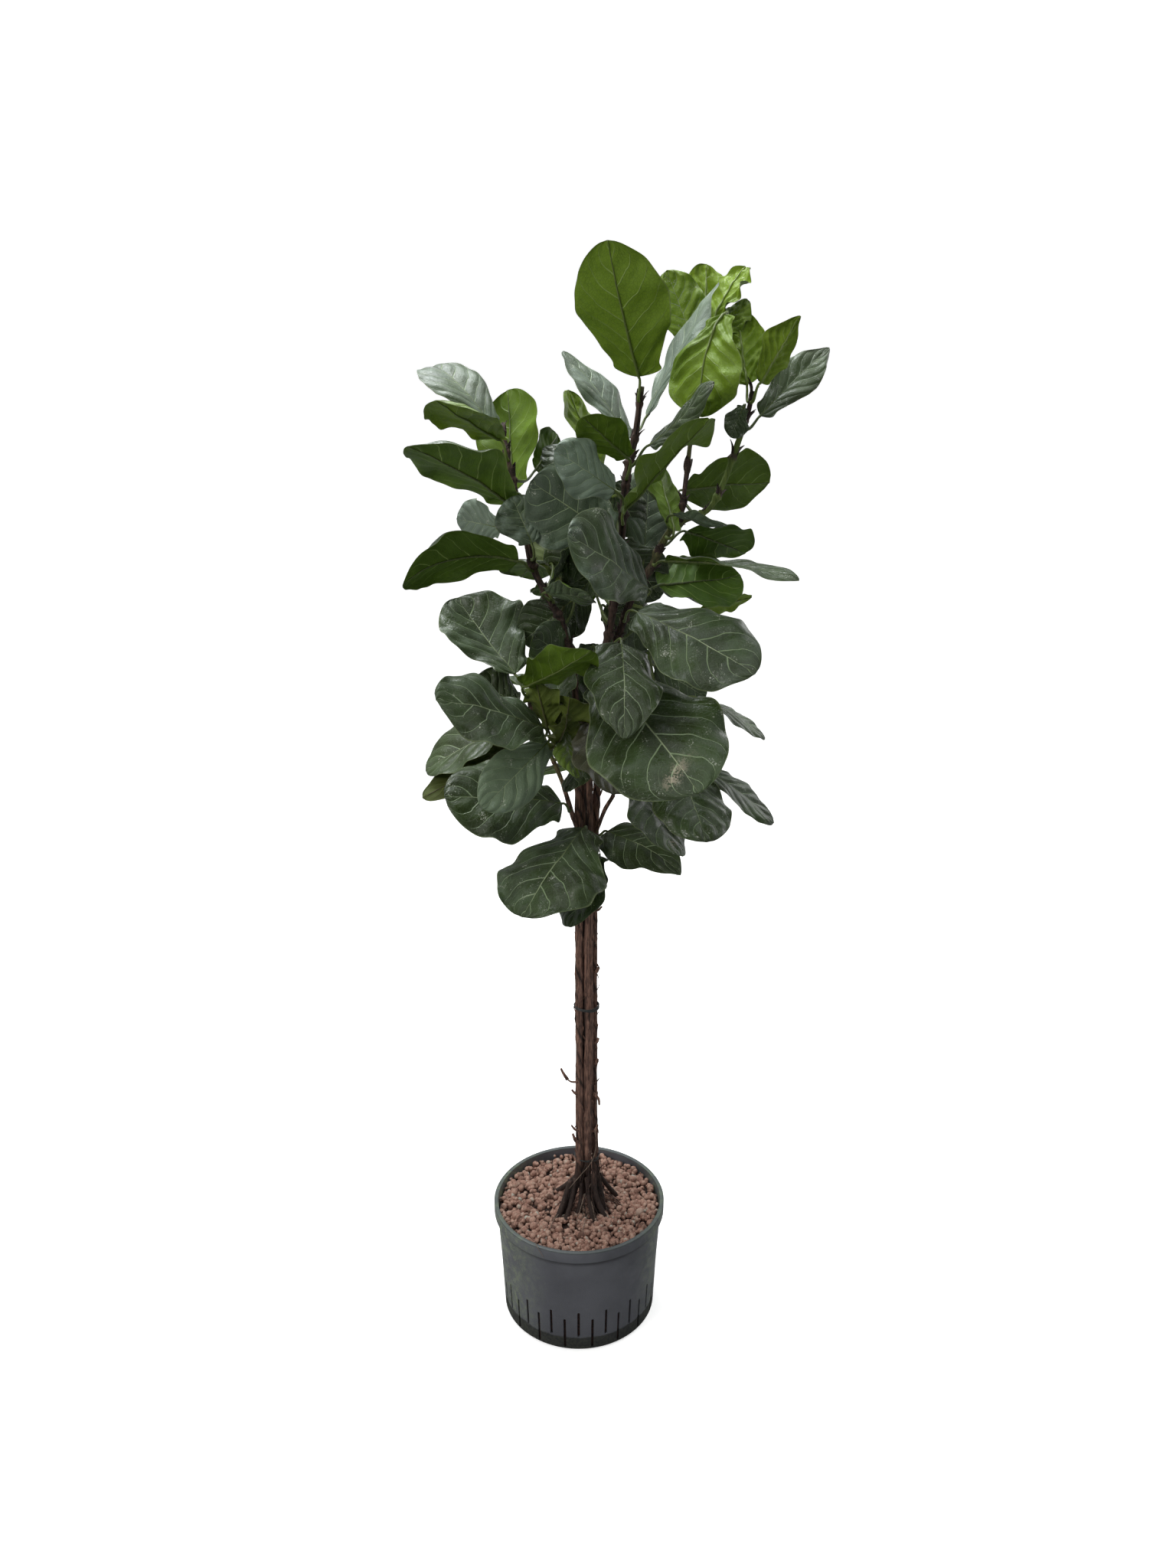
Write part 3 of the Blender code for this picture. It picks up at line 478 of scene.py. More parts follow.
def tint_parts(g):
    """The young, the dusty coat with painted sheen, and the brown of the leaf under the shader."""
    parts = g.node("ShaderNodeSeparateColor")
    g.put(parts.inputs[0], g.attribute("leaf_tint").outputs["Color"])
    return parts.outputs["Red"], parts.outputs["Green"], parts.outputs["Blue"]


def upper_flesh(g, place, veins, young, dust_and_sheen, brown):
    """Colour of the upper side: flesh and veins, a dusty coat with painted sheen, specks, withering
    and scabs.
    """
    patches = g.noise(place, 16.0, 3.0)
    flesh = g.mix(g.band(patches, 0.32, 0.68), rgb(9, 18, 8), rgb(54, 72, 42))
    flesh = g.mix(young, flesh, rgb(118, 146, 20))
    flesh = g.coat(flesh, veins["Net"], 0.16, rgb(96, 120, 84))
    # the pale grey coat, partly dust and partly painted sheen: in patches, and all over the palest
    # leaves
    dust_sheen_mask = g.times(g.band(g.noise(place, 60.0, 5.0, 0.7), 0.25, 0.8), dust_and_sheen)
    broad = g.band(g.noise(place, 13.0, 2.0), 0.4, 0.62, 0.08, 0.8)
    dust_sheen_mask = g.times(dust_sheen_mask, broad)
    dust_sheen_mask = g.math("MAXIMUM", dust_sheen_mask, g.math("SUBTRACT", dust_and_sheen, 0.85))
    flesh = g.mix(dust_sheen_mask, flesh, rgb(146, 164, 148))
    flesh = g.coat(flesh, veins["Side Veins"], 0.92, rgb(156, 176, 134))
    flesh = g.coat(flesh, veins["Midrib"], 0.92, rgb(174, 188, 144))
    flesh = g.coat(flesh, veins["Margin"], 0.6, rgb(130, 142, 100))
    specks = g.group(SPOTS, Place=place, Scale=460.0, Amount=0.405)["Mask"]
    flesh = g.coat(flesh, specks, 0.85, rgb(196, 200, 182))
    flesh = g.coat(flesh, brown, 0.8, rgb(84, 74, 56))
    scab = g.group(SPOTS, Place=place, Scale=330.0, Amount=0.49)["Mask"]
    scab = g.times(scab, g.attribute("leaf_scar").outputs["Fac"])
    return g.mix(scab, flesh, rgb(196, 182, 158))


def make_blade_upper():
    material, g, shader = new_material("blade_upper_side")
    uv = g.node("ShaderNodeUVMap").outputs[0]
    place = g.object_place()
    young, dust_and_sheen, brown = tint_parts(g)
    veins = g.group(VEINS, Place=uv)
    g.put(shader["Base Color"], upper_flesh(g, place, veins, young, dust_and_sheen, brown))
    rough = g.band(g.noise(place, 45.0, 4.0), 0.25, 0.75, 0.22, 0.4)
    rough = g.math("MULTIPLY_ADD", young, 0.12, rough)
    g.put(shader["Roughness"], g.math("MULTIPLY_ADD", dust_and_sheen, 0.16, rough))
    shader["Specular IOR Level"].default_value = 0.5
    shader["Sheen Weight"].default_value = 0.06
    shader["Sheen Roughness"].default_value = 0.5
    height = g.times(veins["Side Veins"], -0.8)
    for part, depth in (("Midrib", -0.7), ("Net", -0.18), ("Panels", 0.8)):
        height = g.plus(height, g.times(veins[part], depth))
    height = g.plus(height, g.times(g.noise(place, 120.0, 4.0), 0.6))
    crinkle = g.times(g.noise(place, 75.0, 3.0, 0.6), g.times(young, 4.5))
    g.put(shader["Normal"], g.bump(g.plus(height, crinkle), 0.0011, 0.8))
    return material


def make_blade_under():
    material, g, shader = new_material("blade_underside")
    uv = g.node("ShaderNodeUVMap").outputs[0]
    place = g.object_place()
    young, _, brown = tint_parts(g)
    veins = g.group(VEINS, Place=uv)
    patches = g.noise(place, 18.0, 3.0)
    flesh = g.mix(g.band(patches, 0.3, 0.75), rgb(76, 108, 24), rgb(100, 134, 36))
    flesh = g.mix(young, flesh, rgb(156, 188, 48))
    flesh = g.coat(flesh, veins["Net"], 0.25, rgb(60, 88, 20))
    flesh = g.coat(flesh, veins["Side Veins"], 0.95, rgb(178, 204, 114))
    flesh = g.coat(flesh, veins["Margin"], 0.7, rgb(136, 150, 92))
    flesh = g.coat(flesh, brown, 0.85, rgb(98, 84, 58))
    g.put(shader["Base Color"], flesh)
    rough = g.band(g.noise(place, 50.0, 3.0), 0.25, 0.75, 0.5, 0.66)
    g.put(shader["Roughness"], g.math("MULTIPLY_ADD", young, -0.14, rough))
    shader["Specular IOR Level"].default_value = 0.4
    height = g.plus(g.times(veins["Side Veins"], 0.9), g.times(veins["Net"], 0.25))
    crinkle = g.times(g.noise(place, 75.0, 3.0, 0.6), g.times(young, 4.0))
    g.put(shader["Normal"], g.bump(g.plus(height, crinkle), 0.0011, 0.8))
    through = g.node("ShaderNodeBsdfTranslucent")
    g.put(through.inputs["Color"], g.mix(0.5, flesh, rgb(170, 200, 60)))
    blend = g.node("ShaderNodeMixShader")
    blend.inputs[0].default_value = 0.28
    g.put(blend.inputs[1], g.tree.nodes["Principled BSDF"].outputs[0])
    g.put(blend.inputs[2], through.outputs[0])
    g.put(g.tree.nodes["Material Output"].inputs["Surface"], blend.outputs[0])
    return material


def make_stalk():
    material, g, shader = new_material("leaf_stalk")
    place = g.object_place()
    young, _, brown = tint_parts(g)
    streaks = g.noise(g.stretched(place, (300, 300, 60)), 1.0, 3.0)
    skin = g.mix(g.band(streaks, 0.3, 0.7), rgb(60, 74, 34), rgb(96, 108, 54))
    skin = g.mix(young, skin, rgb(120, 138, 62))
    skin = g.mix(brown, skin, rgb(86, 70, 50))
    g.put(shader["Base Color"], skin)
    g.put(shader["Roughness"], g.band(streaks, 0.3, 0.7, 0.42, 0.6))
    g.put(shader["Normal"], g.bump(streaks, 0.0006))
    return material


def make_bark():
    """Brown fibrous bark, turning to green skin between the nodes of young wood."""
    material, g, shader = new_material("fig_bark")
    place = g.object_place()
    wood = g.attribute("bark_tint").outputs["Fac"]
    fibres = g.noise(g.stretched(place, (420, 420, 36)), 1.0, 5.0, 0.65, 0.4)
    flakes = g.noise(g.stretched(place, (160, 160, 70)), 1.0, 4.0, 0.6)
    bark = g.mix(g.band(fibres, 0.3, 0.72), rgb(56, 38, 32), rgb(164, 124, 106))
    bark = g.coat(bark, g.band(flakes, 0.5, 0.7), 0.55, rgb(70, 54, 48))
    _, _, level = g.split(place)
    # darker up in the crown and towards the foot of the trunk
    crown = g.band(level, 0.95, 1.15, 0.0, 0.75)
    low_darkening = g.band(level, 0.225, 0.29, 0.92, 0.0)
    bark = g.mix(g.math("MAXIMUM", crown, low_darkening), bark, rgb(36, 26, 22))
    # painted shade: the grooves of the bark darkened to near black
    bark = g.mix(g.attribute("bark_groove_shade").outputs["Fac"], bark, rgb(20, 14, 12))
    lichen = g.group(SPOTS, Place=place, Scale=260.0, Amount=0.40)["Mask"]
    bark = g.coat(bark, lichen, 0.4, rgb(152, 136, 124))
    skin = g.mix(g.band(fibres, 0.3, 0.7), rgb(88, 108, 44), rgb(132, 150, 76))
    g.put(shader["Base Color"], g.mix(wood, bark, skin))
    g.put(shader["Roughness"], g.band(flakes, 0.3, 0.7, 0.72, 0.92))
    height = g.plus(g.times(fibres, 0.7), g.times(flakes, 0.5))
    g.put(shader["Normal"], g.bump(height, 0.0018, 0.9))
    return material


def make_plastic():
    """Bluish grey pot plastic, dusty, with green algae specks and a dirty foot that is also darkened
    as painted shade.
    """
    material, g, shader = new_material("pot_plastic")
    place = g.object_place()
    sideways, _, height = g.split(place)
    clouds = g.noise(place, 9.0, 3.0)
    plastic = g.mix(g.band(clouds, 0.3, 0.7), rgb(84, 85, 91), rgb(103, 104, 110))
    streak = g.noise(g.stretched(place, (38, 38, 5)), 1.0, 3.0)
    plastic = g.coat(plastic, g.band(streak, 0.5, 0.8), 0.3, rgb(104, 106, 106))
    leftward = g.band(sideways, -0.04, -0.135)
    rightward = g.band(sideways, 0.085, 0.125)
    shaded = g.math("MAXIMUM", leftward, g.times(rightward, 0.6))
    algae = g.group(SPOTS, Place=place, Scale=800.0, Amount=0.5)["Mask"]
    haze = g.band(g.noise(place, 30.0, 5.0, 0.65), 0.35, 0.75)
    green = g.times(shaded, g.math("MULTIPLY_ADD", algae, 0.8, g.times(haze, 0.3)))
    plastic = g.mix(green, plastic, rgb(138, 150, 118))
    specks = g.group(SPOTS, Place=place, Scale=700.0, Amount=0.37)["Mask"]
    plastic = g.coat(plastic, specks, 0.45, rgb(140, 146, 130))
    rim = g.band(height, (POT_HEIGHT - 0.35) * CM, (POT_HEIGHT - 0.1) * CM)
    plastic = g.coat(plastic, rim, 0.5, rgb(60, 72, 62))
    under_skirt = (POT_HEIGHT - SKIRT_DEPTH) * CM
    shadow = g.band(height, under_skirt - 0.012, under_skirt - 0.003)
    shadow = g.times(shadow, g.math("LESS_THAN", height, under_skirt + 0.0008))
    plastic = g.coat(plastic, shadow, 0.7, rgb(22, 24, 22))
    # the foot: a dark band with a wavy top, partly dirt and partly painted shade
    wavy = g.math("MULTIPLY_ADD", g.noise(place, 40.0, 3.0), 0.012, 0.022)
    foot = g.band(height, g.math("SUBTRACT", wavy, 0.004), wavy, 1.0, 0.0)
    dirt_and_shade = g.mix(g.band(g.noise(place, 240.0, 4.0), 0.35, 0.65), rgb(24, 26, 22), rgb(54, 56, 44))
    plastic = g.coat(plastic, foot, 0.85, dirt_and_shade)
    g.put(shader["Base Color"], plastic)
    rough = g.band(g.noise(place, 70.0, 4.0), 0.3, 0.7, 0.42, 0.6)
    g.put(shader["Roughness"], g.plus(rough, g.times(foot, 0.25)))
    grain = g.noise(place, 900.0, 2.0)
    g.put(shader["Normal"], g.bump(g.plus(grain, g.times(foot, haze)), 0.0003))
    return material


def make_fired_clay():
    material, g, shader = new_material("fired_clay")
    place = g.object_place()
    shade = g.attribute("pebble_tint").outputs["Fac"]
    pores = g.noise(place, 900.0, 4.0, 0.7)
    broad = g.noise(place, 160.0, 3.0)
    clay = g.mix(g.band(pores, 0.3, 0.7), rgb(112, 78, 66), rgb(172, 134, 118))
    clay = g.coat(clay, g.band(shade, 0.3, 0.9), 0.45, rgb(196, 160, 142))
    clay = g.coat(clay, g.band(broad, 0.45, 0.75), 0.5, rgb(186, 166, 148))
    clay = g.mix(g.band(shade, 0.0, 0.3, 0.75, 0.0), clay, rgb(70, 50, 42))
    clay = g.mix(g.band(shade, 0.9, 1.0, 0.0, 0.8), clay, rgb(168, 172, 160))
    g.put(shader["Base Color"], clay)
    shader["Roughness"].default_value = 0.95
    shader["Specular IOR Level"].default_value = 0.25
    g.put(shader["Normal"], g.bump(pores, 0.0008))
    return material


def make_plain(name, dark, light, roughness, scale, depth):
    """A mottled finish: two colours by noise, with the same noise as its relief."""
    material, g, shader = new_material(name)
    mottle = g.noise(g.object_place(), scale, 4.0, 0.6)
    g.put(shader["Base Color"], g.mix(g.band(mottle, 0.3, 0.7), dark, light))
    g.put(shader["Roughness"], g.band(mottle, 0.3, 0.7, roughness - 0.08, roughness + 0.08))
    g.put(shader["Normal"], g.bump(mottle, depth))
    return material


BLADE_UPPER = make_blade_upper()
BLADE_UNDER = make_blade_under()
STALK = make_stalk()
BARK = make_bark()
PLASTIC = make_plastic()
FIRED_CLAY = make_fired_clay()
# painted shade: a near-black core that shows in the gaps between the pebbles
PEBBLE_GAP_SHADE = make_plain("pebble_gap_shade", rgb(13, 9, 7), rgb(70, 46, 38), 0.95, 300.0, 0.001)
WIRE = make_plain("garden_wire", rgb(30, 32, 32), rgb(66, 68, 66), 0.5, 400.0, 0.0002)
PALE_ROOT = make_plain("dry_root", rgb(84, 68, 58), rgb(146, 128, 112), 0.8, 500.0, 0.0003)
DARK_SCALE = make_plain("dry_scale", rgb(30, 22, 20), rgb(74, 56, 48), 0.85, 500.0, 0.0006)


# ---- mesh helpers --------------------------------------------------------------------

def smooth_route(points, steps):
    """Catmull-Rom curve through rows of numbers, with steps spans between each two."""
    rows = np.array(points, float)
    rows = np.vstack([2 * rows[0] - rows[1], rows, 2 * rows[-1] - rows[-2]])
    route = []
    for a, b, c, d in zip(rows, rows[1:], rows[2:], rows[3:]):
        for t in np.arange(steps) / steps:
            route.append(0.5 * (2 * b + (c - a) * t + (2 * a - 5 * b + 4 * c - d) * t ** 2
                                + (3 * b - a - 3 * c + d) * t ** 3))
    route.append(rows[-2])
    return np.array(route)


def even_route(points, spacing):
    """The same curve with points about spacing apart, as rows of (x, y, z, radius)."""
    fine = smooth_route(points, 24)
    run = np.concatenate([[0], np.cumsum(np.linalg.norm(np.diff(fine[:, :3], axis=0), axis=1))])
    marks = np.linspace(0, run[-1], max(4, int(run[-1] / spacing)))
    return np.column_stack([np.interp(marks, run, fine[:, i]) for i in range(fine.shape[1])])


def frames_along(points):
    """Two directions square to a route at each of its points, carried along without twisting."""
    ahead = np.gradient(points, axis=0)
    ahead /= np.linalg.norm(ahead, axis=1)[:, None]
    side = np.cross(ahead[0], (0.31, 0.95, 0.05))
    sides = []
    for direction in ahead:
        side = side - direction * (side @ direction)
        side /= np.linalg.norm(side)
        sides.append(side)
    sides = np.array(sides)
    return sides, np.cross(ahead, sides)


def value_field(rows, cols, row_step, col_step, seed, closed=False):
    """Smooth random field from -1 to 1 over a grid, with a knot every row_step, col_step."""
    rng = np.random.default_rng(seed)
    knot_rows = max(2, int(rows / row_step) + 2)
    knot_cols = max(3, int(round(cols / col_step)) + 1)
    knots = rng.uniform(-1, 1, (knot_rows, knot_cols))
    if closed:
        knots[:, -1] = knots[:, 0]
    across = np.linspace(0, knot_cols - 1, cols)
    down = np.linspace(0, knot_rows - 1, rows)

    def eased(marks, count):
        low = np.minimum(marks.astype(int), count - 2)
        share = marks - low
        return low, share * share * (3 - 2 * share)

    low_r, share_r = eased(down, knot_rows)
    low_c, share_c = eased(across, knot_cols)
    top = knots[low_r] * (1 - share_r[:, None]) + knots[low_r + 1] * share_r[:, None]
    return top[:, low_c] * (1 - share_c) + top[:, low_c + 1] * share_c


def place_closed_grid(bm, points, slots=0, uvs=None):
    """Adds a grid of points (rows, columns, 3) in cm as a closed tube: the last column is
    welded to the first, and the first and last row are filled."""
    rows, cols = points.shape[:2]
    made = bmesh.ops.create_grid(bm, x_segments=cols - 1, y_segments=rows - 1, size=0.5)
    verts = made["verts"]
    for vert, place in zip(verts, (points.reshape(-1, 3) * CM).tolist()):
        vert.co = place
    slots = np.broadcast_to(slots, (cols - 1,))
    bm.faces.ensure_lookup_table()
    faces = bm.faces[-(rows - 1) * (cols - 1):]
    for index, face in enumerate(faces):
        face.material_index = int(slots[index % (cols - 1)])
        face.smooth = True
    if uvs is not None:
        layer = bm.loops.layers.uv.verify()
        flat = uvs.reshape(-1, 2)
        for index, face in enumerate(faces):
            row, col = divmod(index, cols - 1)
            corner = row * cols + col
            for loop, at in zip(face.loops, (corner, corner + 1, corner + cols + 1, corner + cols)):
                loop[layer].uv = flat[at]
    weld = {verts[row * cols + cols - 1]: verts[row * cols] for row in range(rows)}
    bmesh.ops.weld_verts(bm, targetmap=weld)
    for ring in (verts[:cols - 1], verts[(rows - 1) * cols:rows * cols - 1]):
        for face in bmesh.ops.contextual_create(bm, geom=ring)["faces"]:
            face.material_index = int(slots[0])
            face.smooth = True


def tube_points(centres, radius, sides, relief):
    """Grid of points round a route, one ring a row, the last column on the first."""
    centres = np.asarray(centres, float)
    side, over = frames_along(centres)
    angle = np.linspace(0, 2 * math.pi, sides + 1)
    reach = np.asarray(radius, float)[:, None] + relief
    reach = np.broadcast_to(reach, (len(centres), sides + 1)).copy()
    reach[:, -1] = reach[:, 0]
    ring = (side[:, None, :] * np.cos(angle)[None, :, None]
            + over[:, None, :] * np.sin(angle)[None, :, None])
    return centres[:, None, :] + ring * reach[:, :, None]


def add_tube(bm, route, sides, slot=0, relief=0.0):
    """A closed tube along rows of (x, y, z, radius) in cm."""
    route = np.asarray(route, float)
    points = tube_points(route[:, :3], route[:, 3], sides, relief)
    place_closed_grid(bm, points, slot)


def thread(points, radius, steps, taper):
    """A smooth route of one radius, thinner towards its end by taper."""
    route = smooth_route(points, steps)
    size = radius * (1 - taper * np.linspace(0, 1, len(route)))
    return np.column_stack([route, size])


def add_object(name, data):
    made = bpy.data.objects.new(name, data)
    bpy.context.scene.collection.objects.link(made)
    return made


def mesh_object(bm, name):
    """Turns a bmesh into an object of its own, and frees it."""
    mesh = bpy.data.meshes.new(name)
    bm.to_mesh(mesh)
    bm.free()
    return add_object(name, mesh)


def finish_piece(bm, name, materials, nodes=()):
    """Makes the mesh an object that rides the root and stands for the frame's nodes."""
    bmesh.ops.recalc_face_normals(bm, faces=bm.faces)
    piece = mesh_object(bm, name)
    for material in materials:
        piece.data.materials.append(material)
    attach(piece, "root")
    if nodes:
        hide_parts(*nodes)
    return piece


def paint(piece, name, values):
    """Stores one value or colour a vertex as an attribute of the mesh."""
    values = np.asarray(values, float)
    kind = "FLOAT" if values.ndim == 1 else "FLOAT_COLOR"
    layer = piece.data.attributes.new(name, kind, "POINT")
    if values.ndim == 1:
        layer.data.foreach_set("value", values)
    else:
        full = np.ones((len(values), 4))
        full[:, :values.shape[1]] = values
        layer.data.foreach_set("color", full.ravel())


# ---- blades and stalks ---------------------------------------------------------------

def half_outline(t, belly, point):
    """Half-width of the fiddle shape at t along the blade, as a share of its widest.
    A higher belly moves the widest place to the tip; point draws the tip out."""
    body = np.sin(math.pi * np.clip(t, 0, 1) ** belly) ** 0.52
    body = body * (1 - 0.7 * point * np.clip((t - 0.45) / 0.55, 0, 1) ** 1.4)
    waist = 1 - 0.13 * np.exp(-((t - 0.27) / 0.12) ** 2)
    ears = 0.2 * np.exp(-((t - 0.05) / 0.05) ** 2)
    return body * waist + ears


def blade_frame(base, tip, roll):
    """Forward, left and up directions of a blade on the line from base to tip."""
    forward = (tip - base) / np.linalg.norm(tip - base)
    left = np.cross(UP, forward)
    left /= np.linalg.norm(left)
    up = np.cross(forward, left)
    r = math.radians(roll)
    return forward, left * math.cos(r) + up * math.sin(r), up * math.cos(r) - left * math.sin(r)


def midrib_line(base, tip, roll, droop, curl, along):
    """Points of the midrib, an arc from base to tip whose end curls, with the direction
    to the left of it and the direction its top faces at each point."""
    forward, left, up = blade_frame(base, tip, roll)
    bend = math.radians(droop)
    hook = math.radians(curl) * np.clip((along - 0.68) / 0.32, 0, 1) ** 2
    angle = bend / 2 - bend * along - hook
    steps = np.diff(along, prepend=0.0)
    run = np.cumsum(np.cos(angle) * steps)
    rise = np.cumsum(np.sin(angle) * steps)
    length = math.hypot(run[-1], rise[-1])
    tilt = math.atan2(rise[-1], run[-1])
    chord = np.linalg.norm(tip - base)
    straight_run = (run * math.cos(tilt) + rise * math.sin(tilt)) * chord / length
    straight_rise = (rise * math.cos(tilt) - run * math.sin(tilt)) * chord / length
    angle = angle - tilt
    points = base + straight_run[:, None] * forward + straight_rise[:, None] * up
    tops = np.cos(angle)[:, None] * up - np.sin(angle)[:, None] * forward
    return points, left, tops


def vein_phase(across, along):
    """Phase of the side veins over the blade: a whole number on each vein."""
    reach = np.abs(across)
    line = along - reach * VEIN_CLIMB - reach ** 3 * VEIN_LOOP
    return line * VEIN_PAIRS + VEIN_START + np.where(across > 0, VEIN_STAGGER, 0.0)


def folded_section(cup, edge, reach):
    """How far out and up each column lies, as shares of the half-width: both halves cup up
    from the midrib, and their margins turn down."""
    fold = math.radians(cup) * (1 - np.exp(-reach * 9)) - math.radians(edge) * reach ** 2
    order = np.argsort(reach)
    step = np.diff(reach[order], prepend=0.0)
    spread, lift = np.empty(len(reach)), np.empty(len(reach))
    spread[order] = np.cumsum(np.cos(fold[order]) * step)
    lift[order] = np.cumsum(np.sin(fold[order]) * step)
    return spread, lift


def ruffle_rise(depth, along, across, seed):
    """Waves of the margin, which fade towards the midrib and differ on the two halves."""
    rng = np.random.default_rng(seed)
    waves = rng.uniform(2.2, 3.6, 2)
    starts = rng.uniform(0, 2 * math.pi, 2)
    fade = np.abs(across) ** 2.5
    envelope = np.sin(math.pi * np.clip(along, 0.02, 0.98)) ** 0.5
    rise = 0.0
    for wave, start, half in zip(waves, starts, (across > 0, across <= 0)):
        ruffle = np.sin(2 * math.pi * wave * along + start)
        ruffle += 0.18 * np.sin(2 * math.pi * wave * 2.3 * along + start * 2)
        rise = rise + (depth * ruffle * envelope)[:, None] * (fade * half)[None, :]
    return rise


def blister_rise(depth, half, along, across, seed):
    """Panels that bulge between the side veins, with puckers over them."""
    rows, cols = len(along), len(across)
    reach = np.abs(across)
    phase = vein_phase(across[None, :], along[:, None])
    panel = np.sin(math.pi * phase) ** 2 * np.sin(math.pi * np.clip(reach, 0, 1) ** 0.7)[None, :]
    pucker = value_field(rows, cols, rows / 17, cols / 11, seed)
    return (depth * (panel - 0.4) * np.clip(half[:, None] / 2.5, 0, 1)
            + depth * 0.45 * pucker * (1 - reach[None, :] ** 4))


def blade_surface(leaf, look, along, across, seed):
    """Points of the blade's middle surface, rows along and columns across (-1 to 1)."""
    _, base, tip, width, roll, droop, cup, twist = leaf
    base, tip = np.array(base, float), np.array(tip, float)
    points, left, tops = midrib_line(base, tip, roll, droop, look["curl"], along)
    turn = np.radians(twist) * along[:, None]
    side = left * np.cos(turn) + tops * np.sin(turn)
    up = tops * np.cos(turn) - left * np.sin(turn)
    half = np.maximum(width / 2 * half_outline(along, look["belly"], look["point"]), 0.06)

    rows, cols = len(along), len(across)
    reach = np.abs(across)[None, :]
    spread, lift = folded_section(cup, look["edge"], np.abs(across))
    rise = lift[None, :] * half[:, None]
    rise += ruffle_rise(look["wave"] * width, along, across, seed)
    rise += blister_rise(look["blister"], half, along, across, seed + 3)
    warp = value_field(rows, cols, rows / 5, cols / 4, seed + 1)
    rise += warp * 0.09 * half[:, None] * (0.3 + reach)
    nick = value_field(rows, cols, rows / 14, cols / 2, seed + 2) * 0.012
    outward = (spread * np.sign(across))[None, :] * half[:, None] * (1 + nick * reach)
    return (points[:, None, :] + side[:, None, :] * outward[:, :, None]
            + up[:, None, :] * rise[:, :, None])


def surface_normals(points):
    along = np.gradient(points, axis=0)
    across = np.gradient(points, axis=1)
    normal = np.cross(along, across)
    size = np.linalg.norm(normal, axis=2, keepdims=True)
    return normal / np.maximum(size, 1e-9)


def stalk_route(stem, base, heading):
    """The leaf stalk's centres, from inside the stem's bark to the blade's base."""
    route = smooth_route(ROUTES[stem], 6)
    target = base - np.array((0, 0, STALK_DROP))
    nearest = int(np.argmin(np.linalg.norm(route[:, :3] - target, axis=1)))
    nearest = min(max(nearest, 1), len(route) - 2)
    along = route[nearest + 1, :3] - route[nearest - 1, :3]
    along /= np.linalg.norm(along)
    away = base - route[nearest, :3]
    away -= along * (away @ along)
    away /= np.linalg.norm(away)
    start = route[nearest, :3] + away * route[nearest, 3] * 0.6
    reach = np.linalg.norm(base - start)
    early = start + away * reach * 0.45
    late = base - heading * reach * 0.35
    t = np.linspace(0, 1, 15)[:-1, None]
    return ((1 - t) ** 3 * start + 3 * (1 - t) ** 2 * t * early + 3 * (1 - t) * t * t * late
            + t ** 3 * base)


def blade_marks(name):
    """Marks along a blade from 0 to 1, and across it from -1 to 1."""
    rows, half_cols = FINE_MESH if name in BIG_LEAVES else COARSE_MESH
    along = np.linspace(0, 1, rows)
    along = along - 0.012 * np.sin(2 * math.pi * along)
    across = np.sin(np.linspace(-1, 1, 2 * half_cols + 1) * COLUMN_SWEEP) / math.sin(COLUMN_SWEEP)
    return along, across


def add_blade(bm, surface, normals, along, across):
    """Thickens a surface into the closed blade. Gives the midrib's points on the underside
    and how far across each column lies, from 0 to 1, all round the blade."""
    edge = np.sqrt(np.clip(1 - across ** 2, 0, 1))[None, :, None]
    thick = BLADE_THICKNESS * (0.35 + 0.65 * edge) / 2
    upper = surface + normals * thick
    under = surface - normals * thick
    rings = np.concatenate([upper, under[:, ::-1], upper[:, :1]], axis=1)
    u = (across + 1) / 2
    u_round = np.concatenate([u, u[::-1], u[:1]])
    uvs = np.stack(np.broadcast_arrays(u_round[None, :], along[:, None]), axis=2)
    count = len(across)
    slots = np.array([0] * (count - 1) + [1] * (count + 1))
    place_closed_grid(bm, rings, slots, uvs)
    return under[:, count // 2], u_round[:-1]


def add_stalk(bm, leaf, midrib, down, along):
    """The stalk from the stem to the blade, which runs on under the blade as its rib."""
    heading = midrib[1] - midrib[0]
    heading /= np.linalg.norm(heading)
    stalk = stalk_route(leaf[0], np.array(leaf[1], float) - heading * 0.15, heading)
    rib_size = RIB_RADIUS * (1 - along) ** 0.8 + RIB_END
    rib = (midrib + down * (rib_size * 0.45)[:, None])[1:]
    sizes = np.concatenate([np.linspace(STALK_RADIUS, RIB_RADIUS, len(stalk)), rib_size[1:]])
    sizes[0] = STALK_FOOT
    add_tube(bm, np.column_stack([np.vstack([stalk, rib]), sizes]), STALK_SIDES, 2)


def make_leaf(name, leaf, seed):
    look = {**PLAIN, **LOOKS.get(name, {})}
    along, across = blade_marks(name)
    surface = blade_surface(leaf, look, along, across, seed)
    normals = surface_normals(surface)
    bm = bmesh.new()
    midrib, u_round = add_blade(bm, surface, normals, along, across)
    add_stalk(bm, leaf, midrib, -normals[:, len(across) // 2], along)
    piece = finish_piece(bm, name + "_blade", (BLADE_UPPER, BLADE_UNDER, STALK),
                         (name,) if name in LEAVES else ())
    tint = np.tile((look["young"], look["dust_and_sheen"], look["brown"]), (len(piece.data.vertices), 1))
    paint(piece, "leaf_tint", tint)
    scab = np.exp(-((along[:, None] - SCAR_AT[0]) / SCAR_REACH[0]) ** 2
                  - ((u_round[None, :] - SCAR_AT[1]) / SCAR_REACH[1]) ** 2)
    scars = np.zeros(len(tint))
    scars[:scab.size] = (scab * look["scar"]).ravel()
    paint(piece, "leaf_scar", scars)


def make_leaves():
    for seed, (name, leaf) in enumerate({**LEAVES, **SMALL_LEAVES}.items()):
        make_leaf(name, leaf, 100 + seed * 7)


# ---- bark, bracts, twigs, ties and roots ---------------------------------------------

STEM_STEP = 0.3
BARK_SIDES = 26
NODE_SPACING = 4.2
